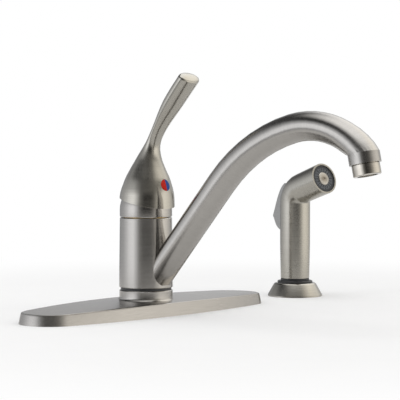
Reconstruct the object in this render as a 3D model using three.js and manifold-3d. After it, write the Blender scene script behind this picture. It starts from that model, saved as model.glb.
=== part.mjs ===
// Single-handle kitchen faucet with a deck plate and a side spray.
// Millimetres, +Z up. The origin is the faucet's axis on the deck's top
// surface. The spout and the lever point along -Y; the spray stands a little
// turned from it.

import * as THREE from 'three';
import { mergeVertices } from 'three/addons/utils/BufferGeometryUtils.js';
import Module from 'manifold-3d';

const wasm = await Module();
wasm.setup();

// ---------------------------------------------------------------------------
// Driving dimensions
// ---------------------------------------------------------------------------

const GAP = 0.3;              // clearance between pieces that only touch
const RUNNING = 0.25;         // radial clearance of pieces that turn
const OVERCUT = 1;            // how far a cutter runs past a face

// Heights and places that several groups share
const HOLE_PITCH = 101.6;     // between the holes of a four-hole sink
const PIVOT_HEIGHT = 87;      // the lever's pivot, on the faucet's axis
const BODY_RADIUS = 19;       // the body that hub, collar and cap go round

// Deck plate
const PLATE_OVERHANG = 37.1;  // past the outer holes
const PLATE_LENGTH = 2 * (HOLE_PITCH + PLATE_OVERHANG);
const PLATE_WIDTH = 74;
const PLATE_END_RADIUS = 26.2;
const PLATE_EDGE_HEIGHT = 8.9;
const PLATE_DRAFT = 1.7;      // how far the side leans in, bottom to top
const PLATE_EDGE_ROUND = 1.5;
const PLATE_CROWN_LONG = 2;   // rise of the top from the ends to the middle
const PLATE_CROWN_CROSS = 1.2;
const PLATE_WALL = 2.2;
const COLLAR_RADIUS = BODY_RADIUS + 3.4;
const COLLAR_TOP = 19.6;
const COLLAR_FLARE = 3.2;
const GASKET_THICKNESS = 2;
const GASKET_BAND = 9;        // width of the gasket's rim

// Mounting hardware under the deck
const DECK_GAP = 6;           // the sink deck that is clamped
const STUD_SPACING = 2 * HOLE_PITCH;
const STUD_RADIUS = 3.1;
const STUD_LENGTH = 50;
const STUD_SOCKET = 5;
const BOSS_RADIUS = 6.5;
const BOSS_FOOT = 3;
const WASHER_RADIUS = 14;
const WASHER_THICKNESS = 2.5;
const NUT_RADIUS = 7;
const NUT_HEIGHT = 9;
const NUT_WING_SPAN = 34;
const NUT_WING_THICKNESS = 3.2;

// Body inside the spout hub
const BODY_TOP = PIVOT_HEIGHT - 1;
const BODY_FLANGE_RADIUS = BODY_RADIUS + 7;
const BODY_FLANGE_THICKNESS = 3;
const SEAT_HEIGHT = 9;        // land under the plate for the body's flange
const SHANK_RADIUS = 15.6;
const SHANK_BOTTOM = -8;
const CARTRIDGE_FLOOR = PIVOT_HEIGHT - 29;
const CARTRIDGE_RADIUS = BODY_RADIUS - 3.7;
const SCREW_CIRCLE = BODY_RADIUS + 3.6;
const SCREW_RADIUS = 1.8;
const SCREW_HEAD_RADIUS = 3.2;
const SCREW_HEAD_HEIGHT = 2.2;
const SCREW_GRIP = 2.8;
const ORING_SECTION = 1;
const ORING_LOWER = 31;
const ORING_UPPER = CARTRIDGE_FLOOR + 8;
const WATERWAY_BOTTOM = 36;
const WATERWAY_TOP = CARTRIDGE_FLOOR - 4;
const WATERWAY_DEPTH = 2.6;

// Supply tubes and spray outlet
const TUBE_RADIUS = 4.75;
const TUBE_WALL = 1;
const TUBE_OFFSET = 8.5;      // from the faucet's axis to each tube
const TUBE_INSET = 10;        // how far a tube sits in its socket
const TUBE_SPREAD = 17;       // spacing of the lower ends from the axis
const TUBE_BOTTOM = -112;
const FITTING_RADIUS = 10.4;
const FITTING_HEIGHT = 16;
const FITTING_HEX = 12.4;
const PASSAGE_RADIUS = 3.2;
const NIPPLE_OFFSET = 9;
const NIPPLE_RADIUS = 4.6;
const NIPPLE_THREAD = 6.4;
const NIPPLE_BOTTOM = -32;
const NIPPLE_BORE = 1.9;

// Diverter
const DIVERTER_HEIGHT = 41;
const DIVERTER_RADIUS = 4.8;
const DIVERTER_LENGTH = 10.6;
const DIVERTER_TRAVEL = 2;

// Ceramic cartridge
const LIFT_ANGLE = 25;
const SEAL_THICKNESS = 2;
const HOUSING_FLOOR = 1.6;
const HOUSING_WALL = 2.1;
const HOUSING_SHOULDER = PIVOT_HEIGHT - 7;
const NECK_RADIUS = 11.2;
const NECK_TOP = PIVOT_HEIGHT + 5.4;
const FIXED_DISC_THICKNESS = 5;
const DISC_RADIUS = 9.4;
const DISC_TOP = PIVOT_HEIGHT - 11;
const DISC_FLAT = 8.4;        // half width across the moving disc's flats
const PORT_RADIUS = 2.6;
const PORT_CIRCLE = 8.5;
const TURRET_RADIUS = 9;
const TURRET_FLANGE_TOP = HOUSING_SHOULDER - 0.7;
const PIN_RADIUS = 1.5;
const STEM_RADIUS = 3.5;
const STEM_NECK_RADIUS = 1.8;
const STEM_BALL_RADIUS = 3;
const STEM_DROP = 13;         // ball centre below the pivot
const STEM_RISE = 35;         // stem top above the pivot
const RETAINER_BORE = 11.6;

// Spout: a hub on the body and a tube swept in the plane x = 0
const HUB_BOTTOM_RADIUS = BODY_RADIUS + 3.6;
const HUB_TOP_RADIUS = HUB_BOTTOM_RADIUS - 0.7;
const SEAM_HEIGHT = 21.7;     // underside of the hub
const HUB_TOP = PIVOT_HEIGHT - 6.7;
const HUB_EDGE = 0.6;
const SPOUT_RADIUS = 11.9;
const SPOUT_CROWN_RADIUS = 11.55;
const SPOUT_WALL = 2;
const SPOUT_START = 12;       // forward distance of the tube's root
const SPOUT_ROOT_HEIGHT = 29.3;
const SPOUT_RISE_ANGLE = 49;
const SPOUT_RISE_LENGTH = 108;
const SPOUT_BEND_RADIUS = 141.8;
const SPOUT_BEND_END = 13.7;  // slope where the first bend ends, degrees
const SPOUT_CROWN_BEND = 73.3;
const SPOUT_CROWN_END = -25;
const SPOUT_FOOT_HEIGHT = 24.3;
const OUTLET_TILT = 12.4;     // outlet axis, forward of straight down
const OUTLET_FORWARD = 224.2;
const OUTLET_HEIGHT = 137.1;
const OUTLET_RADIUS = 12.5;
const OUTLET_LENGTH = 8.5;
const OUTLET_BORE = 9.6;
const OUTLET_SOCKET = 11;
const OUTLET_SOCKET_DEPTH = 6.6;

// Aerator
const AERATOR_RADIUS = 11;
const AERATOR_PROUD = 9.2;
const AERATOR_WALL = 1.5;
const AERATOR_THREAD = 10.6;
const AERATOR_LIP = 2.6;
const INSERT_HEIGHT = 6;

// Bonnet cap: a skirt with a dome about the lever's pivot
const CAP_RADIUS = HUB_TOP_RADIUS + 0.05;
const CAP_BOTTOM = HUB_TOP + 0.6;
const CAP_WALL = 1.8;
const CAP_OPENING = 15;

// Handle
const HANDLE_CLEARANCE = 0.5; // between the cap's dome and the skirt
const SKIRT_RADIUS = CAP_RADIUS + 1.45;
const LEVER_RISE = 108.4;     // lever's end above the pivot
const LEVER_REACH = 47.3;     // lever's end forward of the axis
const SKIRT_HEIGHT = PIVOT_HEIGHT + 6.4;  // rim height above the axis
const SKIRT_SLOPE = 12.5;     // rim rises towards the back, degrees
const SOCKET_DEPTH = 1.5;     // stem end to the socket's end
const SET_SCREW_RADIUS = 2.5;
const SET_SCREW_LENGTH = 8;
const HUB_FOOT = PIVOT_HEIGHT + 16;       // underside of the handle's inner hub
const HUB_FRONT = 13;
const HUB_BACK = 5;
const HUB_HALF_WIDTH = 5;
const BUTTON_HEIGHT = PIVOT_HEIGHT + 20.7;
const BUTTON_RADIUS = 5;
const BUTTON_DEPTH = 3.4;
const BUTTON_TILT = 18.5;

// Side spray, in its own hole
const SPRAY_X = 2 * HOLE_PITCH;
const SPRAY_TURN = -10;       // turned in its holder, degrees
const SPRAY_TUBE_RADIUS = 13.7;
const SPRAY_FOOT_RADIUS = 13.1;
const SPRAY_FOOT = 16.5;
const SPRAY_TAPER_TOP = 48;
const SPRAY_WALL = 2.4;
const SPRAY_BEND_RADIUS = 14.6;
const SPRAY_AXIS_HEIGHT = 95.6; // where the head's axis meets the tube's
const SPRAY_HEAD_ANGLE = 18.4;
const SPRAY_REACH = 40.9;
const HEAD_RADIUS = 14.1;     // at the spray's face
const FACE_RADIUS = 12.5;
const FACE_RECESS = 0.9;
const FACE_THICKNESS = 3;
const FACE_HOLES = 20;
const FACE_HOLE_RADIUS = 0.6;
const FACE_HOLE_CIRCLE = 9.2;
const BUTTON_DISC_RADIUS = 5.9;
const BUTTON_DISC_PROUD = 0.7;

// Trigger, hinged at its top on a pin across the shell
const TRIGGER_WIDTH = 15;
const TRIGGER_PIN_Y = 5.2;
const TRIGGER_PIN_HEIGHT = 96.8;
const TRIGGER_PIN_HALF = 8.9;
const TRIGGER_PIN_RADIUS = 1.2;
const TRIGGER_EYE = 2.6;      // metal around the pin
const TRIGGER_TOP = 103.2;
const TRIGGER_TOP_REACH = 7.2;
const TRIGGER_TIP_HEIGHT = 73;
const TRIGGER_TIP_REACH = 22.9;
const TRIGGER_BOTTOM = 60.4;
const TRIGGER_INNER = 9.4;    // inner face, from the tube's axis
const TRIGGER_ANGLE = 6;
const VALVE_HEIGHT = 80;
const VALVE_STEM_RADIUS = 2;
const VALVE_STEM_HEAD = 3.1;
const VALVE_TIP = 0.8;        // flat of the domed end that the trigger pushes
const CORE_RADIUS = 6.2;
const CORE_OFFSET = -3.2;
const CORE_TOP = 92;
const SPRING_WIRE = 0.4;
const SPRING_TURNS = 4;

// Spray holder in the deck
const FLANGE_RADIUS = 24.9;
const FLANGE_TOP_RADIUS = 18.8;
const FLANGE_HEIGHT = 12.2;
const FLANGE_RIM = 1.4;
const FLANGE_WALL = 1.6;
const GUIDE_RADIUS = 16;
const GUIDE_STEP_RADIUS = 13.1;
const GUIDE_STEP_HEIGHT = 2;
const GUIDE_TOP = 16.2;
const HOLDER_RADIUS = 15;
const HOLDER_BORE = 10.4;
const HOLDER_BOTTOM = -42;
const COUPLING_RADIUS = 9.4;
const COUPLING_BOTTOM = -18;
const COUPLING_TOP = 26;
const SPRAY_GASKET_THICKNESS = 1.6;
const SPRAY_NUT_RADIUS = 21;
const SPRAY_NUT_HEIGHT = 8;
const SPRAY_NUT_LOBES = 8;

// Facet counts, and how far off flat merged facets may be
const FLATNESS = 0.004;
const ROUND = 40;
const MEDIUM = 24;
const SMALL = 14;
const TINY = 8;
const SPOUT_SIDES = 28;
const HIDDEN = 20;            // large rounds that stay out of sight
const PLATE_STEPS = 7;        // points along a quarter of the plate's side, and of its end
const PLATE_HIDDEN_STEPS = 5;

// ---------------------------------------------------------------------------
// Colours
// ---------------------------------------------------------------------------

const FINISHES = {
  brushed: { color: 0xa8a39c, roughness: 0.36, metalness: 1 },
  polished: { color: 0xc9c4ba, roughness: 0.15, metalness: 1 },
  brass: { color: 0xb08d4e, roughness: 0.4, metalness: 1 },
  copper: { color: 0xb5724a, roughness: 0.35, metalness: 1 },
  steel: { color: 0x9a9a9a, roughness: 0.35, metalness: 1 },
  rubber: { color: 0x1b1b1b, roughness: 0.8, metalness: 0 },
  black: { color: 0x232323, roughness: 0.5, metalness: 0 },
  white: { color: 0xe4e2dc, roughness: 0.5, metalness: 0 },
  grey: { color: 0x4a4a4c, roughness: 0.5, metalness: 0 },
  ceramic: { color: 0xf2eee6, roughness: 0.2, metalness: 0 },
  button: { color: 0xb3262b, roughness: 0.3, metalness: 0 },
};

// ---------------------------------------------------------------------------
// Geometry helpers
// ---------------------------------------------------------------------------

const radians = (degrees) => (degrees * Math.PI) / 180;

// A closed solid from a three.js geometry, with its faces turned outwards.
function solid(geometry) {
  const bare = geometry.index ? geometry.toNonIndexed() : geometry.clone();
  bare.deleteAttribute('normal');
  bare.deleteAttribute('uv');
  const merged = mergeVertices(bare, 1e-4);
  const position = merged.attributes.position;
  const corners = Array.from(merged.index.array);
  const faces = [];
  let volume = 0;
  const [a, b, c] = [new THREE.Vector3(), new THREE.Vector3(), new THREE.Vector3()];
  for (let i = 0; i < corners.length; i += 3) {
    const [p, q, r] = corners.slice(i, i + 3);
    if (p === q || q === r || r === p) continue;
    faces.push([p, q, r]);
    a.fromBufferAttribute(position, p);
    b.fromBufferAttribute(position, q);
    c.fromBufferAttribute(position, r);
    volume += a.dot(b.cross(c));
  }
  const triangles = faces.flatMap(([p, q, r]) => (volume < 0 ? [p, r, q] : [p, q, r]));
  return new wasm.Manifold(new wasm.Mesh({
    numProp: 3,
    vertProperties: new Float32Array(position.array),
    triVerts: new Uint32Array(triangles),
  }));
}

// A named three.js mesh from a solid.
function mesh(name, shape, finish) {
  const data = shape.asOriginal().simplify(FLATNESS).getMesh();
  const geometry = new THREE.BufferGeometry();
  geometry.setAttribute('position', new THREE.BufferAttribute(data.vertProperties, 3));
  geometry.setIndex(new THREE.BufferAttribute(data.triVerts, 1));
  geometry.computeVertexNormals();
  const result = new THREE.Mesh(geometry, new THREE.MeshStandardMaterial(FINISHES[finish]));
  result.name = name;
  return result;
}

// A solid of revolution about Z from a closed profile of [radius, height].
function revolve(profile, segments = ROUND) {
  const points = profile.map(([radius, height]) => new THREE.Vector2(radius, height));
  points.push(points[0].clone());
  const lathe = new THREE.LatheGeometry(points, segments);
  return solid(lathe.rotateX(Math.PI / 2));
}

// A solid cylinder about Z.
function rod(radius, low, high, segments = MEDIUM) {
  return revolve([[0, low], [radius, low], [radius, high], [0, high]], segments);
}

// A ring about Z.
function ring(inner, outer, low, high, segments = MEDIUM) {
  return revolve([[inner, low], [outer, low], [outer, high], [inner, high]], segments);
}

// A box from its lowest to its highest corner.
function block(low, high) {
  const size = high.map((value, i) => value - low[i]);
  const box = new THREE.BoxGeometry(...size);
  box.translate(...low.map((value, i) => value + size[i] / 2));
  return solid(box);
}

// A prism along Z from an outline of [x, y].
function prism(outline, low, high) {
  const shape = new THREE.Shape(outline.map(([x, y]) => new THREE.Vector2(x, y)));
  const body = new THREE.ExtrudeGeometry(shape, { depth: high - low, bevelEnabled: false });
  return solid(body.translate(0, 0, low));
}

// A prism across X from an outline of [y, z].
function slab(outline, halfWidth) {
  const body = prism(outline, -halfWidth, halfWidth);
  const turn = new THREE.Matrix4().set(0, 0, 1, 0, 1, 0, 0, 0, 0, 1, 0, 0, 0, 0, 0, 1);
  return body.transform(Array.from(turn.elements));
}

// A solid through rings of equal numbers of points, closed by fans.
function loft(rings) {
  const count = rings[0].length;
  const points = rings.flat();
  const middles = [rings[0], rings[rings.length - 1]].map((outline) => outline
    .reduce((sum, point) => sum.add(point), new THREE.Vector3())
    .divideScalar(count));
  const first = points.length;
  points.push(...middles);
  const index = [];
  for (let j = 0; j < count; j += 1) {
    const k = (j + 1) % count;
    for (let i = 0; i < rings.length - 1; i += 1) {
      const [low, high] = [i * count, (i + 1) * count];
      index.push(low + j, low + k, high + k, low + j, high + k, high + j);
    }
    const last = (rings.length - 1) * count;
    index.push(first, k, j, first + 1, last + j, last + k);
  }
  const geometry = new THREE.BufferGeometry();
  geometry.setAttribute('position', new THREE.Float32BufferAttribute(
    points.flatMap((point) => point.toArray()), 3));
  geometry.setIndex(index);
  return solid(geometry);
}

// A closed ring of points on an ellipse in a plane that crosses the plane
// x = 0 and leans by a tilt from level towards -Y.
function sectionRing(forward, height, tilt, halfWidth, halfDepth, count) {
  const lean = radians(tilt);
  return Array.from({ length: count }, (_, i) => {
    const turn = (2 * Math.PI * i) / count;
    const across = halfWidth * Math.cos(turn);
    const along = halfDepth * Math.sin(turn);
    return new THREE.Vector3(
      across,
      -forward - along * Math.cos(lean),
      height - along * Math.sin(lean),
    );
  });
}

// The same solid moved, or turned about X at a point of the plane x = 0.
const moved = (body, x, y, z) => body.translate([x, y, z]);
function tilted(body, degrees, y = 0, z = 0) {
  return body.translate([0, -y, -z]).rotate([degrees, 0, 0]).translate([0, y, z]);
}

// A solid about Z, laid along -Y (its top forward) at a height.
const laidForward = (body, height) => body.rotate([90, 0, 0]).translate([0, 0, height]);

// The outline shared by the plate, its hollow and its gasket: two long side
// arcs that run tangent into round ends, moved inwards by an inset.
function plateOutline(inset, steps = PLATE_STEPS) {
  const end = PLATE_END_RADIUS - inset;
  const halfWidth = PLATE_WIDTH / 2 - inset;
  const centre = PLATE_LENGTH / 2 - PLATE_END_RADIUS;
  const side = (centre ** 2 + halfWidth ** 2 - end ** 2) / (2 * (halfWidth - end));
  const reach = Math.atan2(centre, side - halfWidth);
  const quarter = [];
  for (let i = 0; i < steps; i += 1) {
    const turn = (reach * i) / steps;
    quarter.push([side * Math.sin(turn), halfWidth - side + side * Math.cos(turn)]);
  }
  for (let i = 0; i <= steps; i += 1) {
    const turn = reach + ((Math.PI / 2 - reach) * i) / steps;
    quarter.push([centre + end * Math.sin(turn), end * Math.cos(turn)]);
  }
  const lower = quarter.slice(0, -1).reverse().map(([x, y]) => [x, -y]);
  const right = [...quarter, ...lower];
  const left = right.slice(1, -1).reverse().map(([x, y]) => [-x, y]);
  return [...right, ...left].reverse();
}

// Height of the plate's crowned top at a point, less a drop.
function plateTop(x, y, drop = 0) {
  const alongFall = (x / (PLATE_LENGTH / 2)) ** 2;
  const acrossFall = (y / (PLATE_WIDTH / 2)) ** 2;
  const crown = PLATE_CROWN_LONG * (1 - alongFall);
  const cross = PLATE_CROWN_CROSS * (1 - Math.min(1, acrossFall + alongFall));
  return PLATE_EDGE_HEIGHT + crown + cross - drop;
}

// ---------------------------------------------------------------------------
// Deck plate and what mounts it
// ---------------------------------------------------------------------------

// The plate's outer or inner skin: sides with draft, a rounded edge, and a
// top that shrinks to the middle along the crown.
const plateShoulder = PLATE_DRAFT + PLATE_EDGE_ROUND;

function plateSkin(wall, bottom, levels, shares, steps) {
  const base = plateOutline(wall, steps);
  const rings = [base.map(([x, y]) => new THREE.Vector3(x, y, bottom))];
  for (const [inset, drop] of levels) {
    const outline = plateOutline(wall + inset, steps);
    rings.push(outline.map(([x, y]) => new THREE.Vector3(x, y, plateTop(x, y, drop + wall))));
  }
  const edge = plateOutline(wall + plateShoulder, steps);
  for (const share of shares) {
    rings.push(edge.map(([x, y]) => new THREE.Vector3(
      x * share, y * share, plateTop(x * share, y * share, wall))));
  }
  return loft(rings);
}

// Levels of the plate's rounded edge as [inset, drop below the top].
const PLATE_ROUND_LEVELS = [
  [PLATE_DRAFT, PLATE_EDGE_ROUND],
  [PLATE_DRAFT + PLATE_EDGE_ROUND * 0.3, PLATE_EDGE_ROUND * 0.3],
  [plateShoulder, 0],
];

// Levels of the hollow: upright past the gasket, then in to the ceiling.
const PLATE_HOLLOW_LEVELS = [
  [0, PLATE_EDGE_HEIGHT - PLATE_WALL - GASKET_THICKNESS - GAP],
  [plateShoulder, 0],
];

function collarProfile() {
  const foot = PLATE_EDGE_HEIGHT;
  const flareTop = foot + PLATE_CROWN_LONG + COLLAR_FLARE;
  const profile = [[0, foot], [COLLAR_RADIUS + COLLAR_FLARE, foot]];
  const steps = 3;
  for (let i = 0; i <= steps; i += 1) {
    const turn = (Math.PI / 2) * (i / steps);
    profile.push([
      COLLAR_RADIUS + COLLAR_FLARE * (1 - Math.sin(turn)),
      flareTop - COLLAR_FLARE * Math.cos(turn),
    ]);
  }
  profile.push([COLLAR_RADIUS, COLLAR_TOP - HUB_EDGE]);
  profile.push([COLLAR_RADIUS - HUB_EDGE, COLLAR_TOP], [0, COLLAR_TOP]);
  return profile;
}

const studSides = [['left', -1], ['right', 1]];
const studX = STUD_SPACING / 2;
const bossHole = STUD_RADIUS + GAP;
const bodyBore = BODY_RADIUS + GAP;

function deckPlate() {
  let plate = plateSkin(0, 0, PLATE_ROUND_LEVELS, [0.66, 0.33], PLATE_STEPS)
    .add(revolve(collarProfile()));
  plate = plate.subtract(plateSkin(PLATE_WALL, -OVERCUT, PLATE_HOLLOW_LEVELS, [0.5],
    PLATE_HIDDEN_STEPS));
  plate = plate.subtract(rod(BODY_FLANGE_RADIUS + GAP, -OVERCUT, SEAT_HEIGHT));
  plate = plate.subtract(rod(bodyBore, -OVERCUT, COLLAR_TOP + OVERCUT, ROUND));
  for (const [, side] of studSides) {
    const boss = rod(BOSS_RADIUS, BOSS_FOOT, PLATE_EDGE_HEIGHT, SMALL);
    const hole = rod(bossHole, 0, BOSS_FOOT + STUD_SOCKET + GAP, TINY);
    plate = plate.add(moved(boss, side * studX, 0, 0));
    plate = plate.subtract(moved(hole, side * studX, 0, 0));
    const screwHole = rod(SCREW_RADIUS + GAP, 0, SEAT_HEIGHT + SCREW_GRIP + GAP, TINY);
    plate = plate.subtract(moved(screwHole, side * SCREW_CIRCLE, 0, 0));
  }
  return mesh('deck_plate', plate, 'brushed');
}

function baseGasket() {
  const outline = plateOutline(PLATE_WALL + GAP, PLATE_HIDDEN_STEPS);
  const inner = plateOutline(PLATE_WALL + GAP + GASKET_BAND, PLATE_HIDDEN_STEPS);
  const whole = prism(outline, 0, GASKET_THICKNESS);
  const middle = prism(inner, -OVERCUT, GASKET_THICKNESS + OVERCUT);
  let gasket = whole.subtract(middle);
  for (const [, side] of studSides) {
    const band = block([-BOSS_RADIUS * 1.6, -PLATE_WIDTH, 0],
      [BOSS_RADIUS * 1.6, PLATE_WIDTH, GASKET_THICKNESS]);
    gasket = gasket.add(moved(band, side * studX, 0, 0).intersect(whole));
    const hole = rod(bossHole + GAP, -OVERCUT, GASKET_THICKNESS + OVERCUT, TINY);
    gasket = gasket.subtract(moved(hole, side * studX, 0, 0));
  }
  return mesh('base_gasket', gasket, 'rubber');
}

const studTop = BOSS_FOOT + STUD_SOCKET;
const washerTop = -DECK_GAP;
const washerBottom = washerTop - WASHER_THICKNESS;
const nutTop = washerBottom - GAP / 3;

function mountingStud(name, side) {
  const tip = 1.2;
  const stud = revolve([
    [0, studTop - STUD_LENGTH - tip], [STUD_RADIUS - tip, studTop - STUD_LENGTH - tip],
    [STUD_RADIUS, studTop - STUD_LENGTH], [STUD_RADIUS, studTop], [0, studTop],
  ], TINY);
  return mesh(`mounting_stud_${name}`, moved(stud, side * studX, 0, 0), 'steel');
}

function studWasher(name, side) {
  const washer = ring(bossHole, WASHER_RADIUS, washerBottom, washerTop, MEDIUM);
  return mesh(`stud_washer_${name}`, moved(washer, side * studX, 0, 0), 'steel');
}

function wingNut(name, side) {
  const hub = rod(NUT_RADIUS, nutTop - NUT_HEIGHT, nutTop, SMALL);
  const half = NUT_WING_SPAN / 2;
  const thick = NUT_WING_THICKNESS / 2;
  const rise = NUT_HEIGHT * 0.3;
  const wings = slab([
    [-half, nutTop - NUT_HEIGHT - rise], [-half * 0.6, nutTop - NUT_HEIGHT - rise],
    [-NUT_RADIUS * 0.6, nutTop - rise], [NUT_RADIUS * 0.6, nutTop - rise],
    [half * 0.6, nutTop - NUT_HEIGHT - rise], [half, nutTop - NUT_HEIGHT - rise],
    [half, nutTop - NUT_HEIGHT * 0.6], [NUT_RADIUS, nutTop - GAP],
    [-NUT_RADIUS, nutTop - GAP], [-half, nutTop - NUT_HEIGHT * 0.6],
  ], thick);
  const hole = rod(bossHole, nutTop - 2 * NUT_HEIGHT, nutTop + OVERCUT, TINY);
  const nut = hub.add(wings).subtract(hole);
  return mesh(`wing_nut_${name}`, moved(nut, side * studX, 0, 0), 'brass');
}

// ---------------------------------------------------------------------------
// Body, its seals and its supplies
// ---------------------------------------------------------------------------

const flangeTop = SEAT_HEIGHT - GAP;
const flangeBottom = flangeTop - BODY_FLANGE_THICKNESS;
const socketTop = SHANK_BOTTOM + TUBE_INSET;
const grooveHalf = ORING_SECTION + GAP;
const grooveRadius = BODY_RADIUS - 2 * ORING_SECTION + RUNNING - GAP;
const cartridgeBore = CARTRIDGE_RADIUS + GAP;
const diverterBore = DIVERTER_RADIUS + GAP;
const diverterBack = Math.sqrt(BODY_RADIUS ** 2 - DIVERTER_RADIUS ** 2) - GAP;
const diverterFront = diverterBack - DIVERTER_LENGTH;
const diverterFloor = diverterFront - DIVERTER_TRAVEL - GAP;

function faucetBody() {
  let body = revolve([
    [0, SHANK_BOTTOM], [SHANK_RADIUS, SHANK_BOTTOM], [SHANK_RADIUS, flangeBottom],
    [BODY_FLANGE_RADIUS, flangeBottom], [BODY_FLANGE_RADIUS, flangeTop],
    [BODY_RADIUS, flangeTop],
    [BODY_RADIUS, ORING_LOWER - grooveHalf], [grooveRadius, ORING_LOWER - grooveHalf],
    [grooveRadius, ORING_LOWER + grooveHalf], [BODY_RADIUS, ORING_LOWER + grooveHalf],
    [BODY_RADIUS, WATERWAY_BOTTOM], [BODY_RADIUS - WATERWAY_DEPTH, WATERWAY_BOTTOM],
    [BODY_RADIUS - WATERWAY_DEPTH, WATERWAY_TOP], [BODY_RADIUS, WATERWAY_TOP],
    [BODY_RADIUS, ORING_UPPER - grooveHalf], [grooveRadius, ORING_UPPER - grooveHalf],
    [grooveRadius, ORING_UPPER + grooveHalf], [BODY_RADIUS, ORING_UPPER + grooveHalf],
    [BODY_RADIUS, BODY_TOP], [cartridgeBore, BODY_TOP],
    [cartridgeBore, CARTRIDGE_FLOOR], [0, CARTRIDGE_FLOOR],
  ], HIDDEN);
  for (const [, side] of studSides) {
    const passage = rod(PASSAGE_RADIUS, socketTop - OVERCUT, CARTRIDGE_FLOOR + OVERCUT, TINY);
    const socket = rod(TUBE_RADIUS + GAP, SHANK_BOTTOM - OVERCUT, socketTop, TINY);
    const screwHole = rod(SCREW_RADIUS + GAP, 0, SEAT_HEIGHT, TINY);
    body = body.subtract(moved(passage, side * TUBE_OFFSET, 0, 0));
    body = body.subtract(moved(socket, side * TUBE_OFFSET, 0, 0));
    body = body.subtract(moved(screwHole, side * SCREW_CIRCLE, 0, 0));
  }
  const outletDrop = rod(PASSAGE_RADIUS, WATERWAY_BOTTOM + 8, CARTRIDGE_FLOOR + OVERCUT, TINY);
  const outlet = laidForward(rod(PASSAGE_RADIUS, PORT_CIRCLE - 2, BODY_RADIUS, TINY),
    WATERWAY_BOTTOM + 8 + PASSAGE_RADIUS);
  const cavity = laidForward(rod(diverterBore, -BODY_RADIUS - OVERCUT, -diverterFloor, TINY),
    DIVERTER_HEIGHT);
  const sprayPassage = rod(NIPPLE_BORE, SHANK_BOTTOM, DIVERTER_HEIGHT, TINY);
  const nippleSocket = rod(NIPPLE_RADIUS + GAP, SHANK_BOTTOM - OVERCUT, socketTop, SMALL);
  body = body.subtract(moved(outletDrop, 0, -PORT_CIRCLE, 0)).subtract(outlet);
  body = body.subtract(cavity).subtract(moved(sprayPassage, 0, NIPPLE_OFFSET, 0));
  body = body.subtract(moved(nippleSocket, 0, NIPPLE_OFFSET, 0));
  return mesh('faucet_body', body, 'brass');
}

function bodyScrew(name, side) {
  const screw = revolve([
    [0, flangeBottom - GAP / 3 - SCREW_HEAD_HEIGHT],
    [SCREW_HEAD_RADIUS, flangeBottom - GAP / 3 - SCREW_HEAD_HEIGHT],
    [SCREW_HEAD_RADIUS, flangeBottom - GAP / 3], [SCREW_RADIUS, flangeBottom - GAP / 3],
    [SCREW_RADIUS, SEAT_HEIGHT + SCREW_GRIP], [0, SEAT_HEIGHT + SCREW_GRIP],
  ], TINY);
  return mesh(`body_screw_${name}`, moved(screw, side * SCREW_CIRCLE, 0, 0), 'steel');
}

function spoutORing(name, height) {
  const radius = grooveRadius + GAP / 2 + ORING_SECTION;
  const torus = new THREE.TorusGeometry(radius, ORING_SECTION, 5, HIDDEN);
  return mesh(name, moved(solid(torus), 0, 0, height), 'rubber');
}

function glideRing() {
  const low = COLLAR_TOP + GAP / 3;
  const high = SEAM_HEIGHT - GAP / 3;
  return mesh('spout_glide_ring', ring(bodyBore, COLLAR_RADIUS - 1.1, low, high, ROUND), 'black');
}

// A supply tube that drops straight from its socket, spreads, and drops again.
function supplyTube(name, side) {
  const [near, far] = [side * TUBE_OFFSET, side * TUBE_SPREAD];
  const top = socketTop - GAP;
  const bend = SHANK_BOTTOM - 12;
  const spread = bend - 34;
  const route = new THREE.CurvePath();
  const point = (x, z) => new THREE.Vector3(x, 0, z);
  route.add(new THREE.LineCurve3(point(near, top), point(near, bend)));
  route.add(new THREE.CubicBezierCurve3(
    point(near, bend), point(near, (bend + spread) / 2),
    point(far, (bend + spread) / 2), point(far, spread)));
  route.add(new THREE.LineCurve3(point(far, spread), point(far, TUBE_BOTTOM)));
  const round = (radius) => Array.from({ length: TINY }, (_, i) => {
    const turn = (2 * Math.PI * i) / TINY;
    return [radius * Math.cos(turn), radius * Math.sin(turn)];
  });
  const stops = [
    top, bend, ...[0.25, 0.5, 0.75].map((share) => bend + share * (spread - bend)),
    spread, TUBE_BOTTOM,
  ];
  const offset = (z) => {
    const share = Math.min(1, Math.max(0, (bend - z) / (bend - spread)));
    return near + (far - near) * (3 * share ** 2 - 2 * share ** 3);
  };
  const sweep = (radius, past) => loft(stops.map((z, i) => {
    const end = i === 0 ? past : (i === stops.length - 1 ? -past : 0);
    return round(radius).map(([x, y]) => new THREE.Vector3(offset(z) + x, y, z + end));
  }));
  const tube = sweep(TUBE_RADIUS, 0).subtract(sweep(TUBE_RADIUS - TUBE_WALL, OVERCUT));
  return mesh(`${name}_inlet_tube`, tube, 'copper');
}

// The fitting at a supply tube's lower end: a hex over a threaded end.
function supplyFitting(name, side) {
  const hexTop = TUBE_BOTTOM + FITTING_HEIGHT / 2;
  const low = TUBE_BOTTOM - FITTING_HEIGHT / 2;
  const hex = rod(FITTING_HEX, hexTop - FITTING_HEIGHT / 2, hexTop, 6);
  const threaded = rod(FITTING_RADIUS, low, TUBE_BOTTOM + OVERCUT, SMALL);
  const bore = rod(TUBE_RADIUS + GAP, TUBE_BOTTOM - GAP, hexTop + OVERCUT, TINY);
  const outlet = rod(TUBE_RADIUS - TUBE_WALL, low - OVERCUT, TUBE_BOTTOM + OVERCUT, TINY);
  const fitting = hex.add(threaded).subtract(bore).subtract(outlet);
  return mesh(`${name}_inlet_fitting`, moved(fitting, side * TUBE_SPREAD, 0, 0), 'brass');
}

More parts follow.
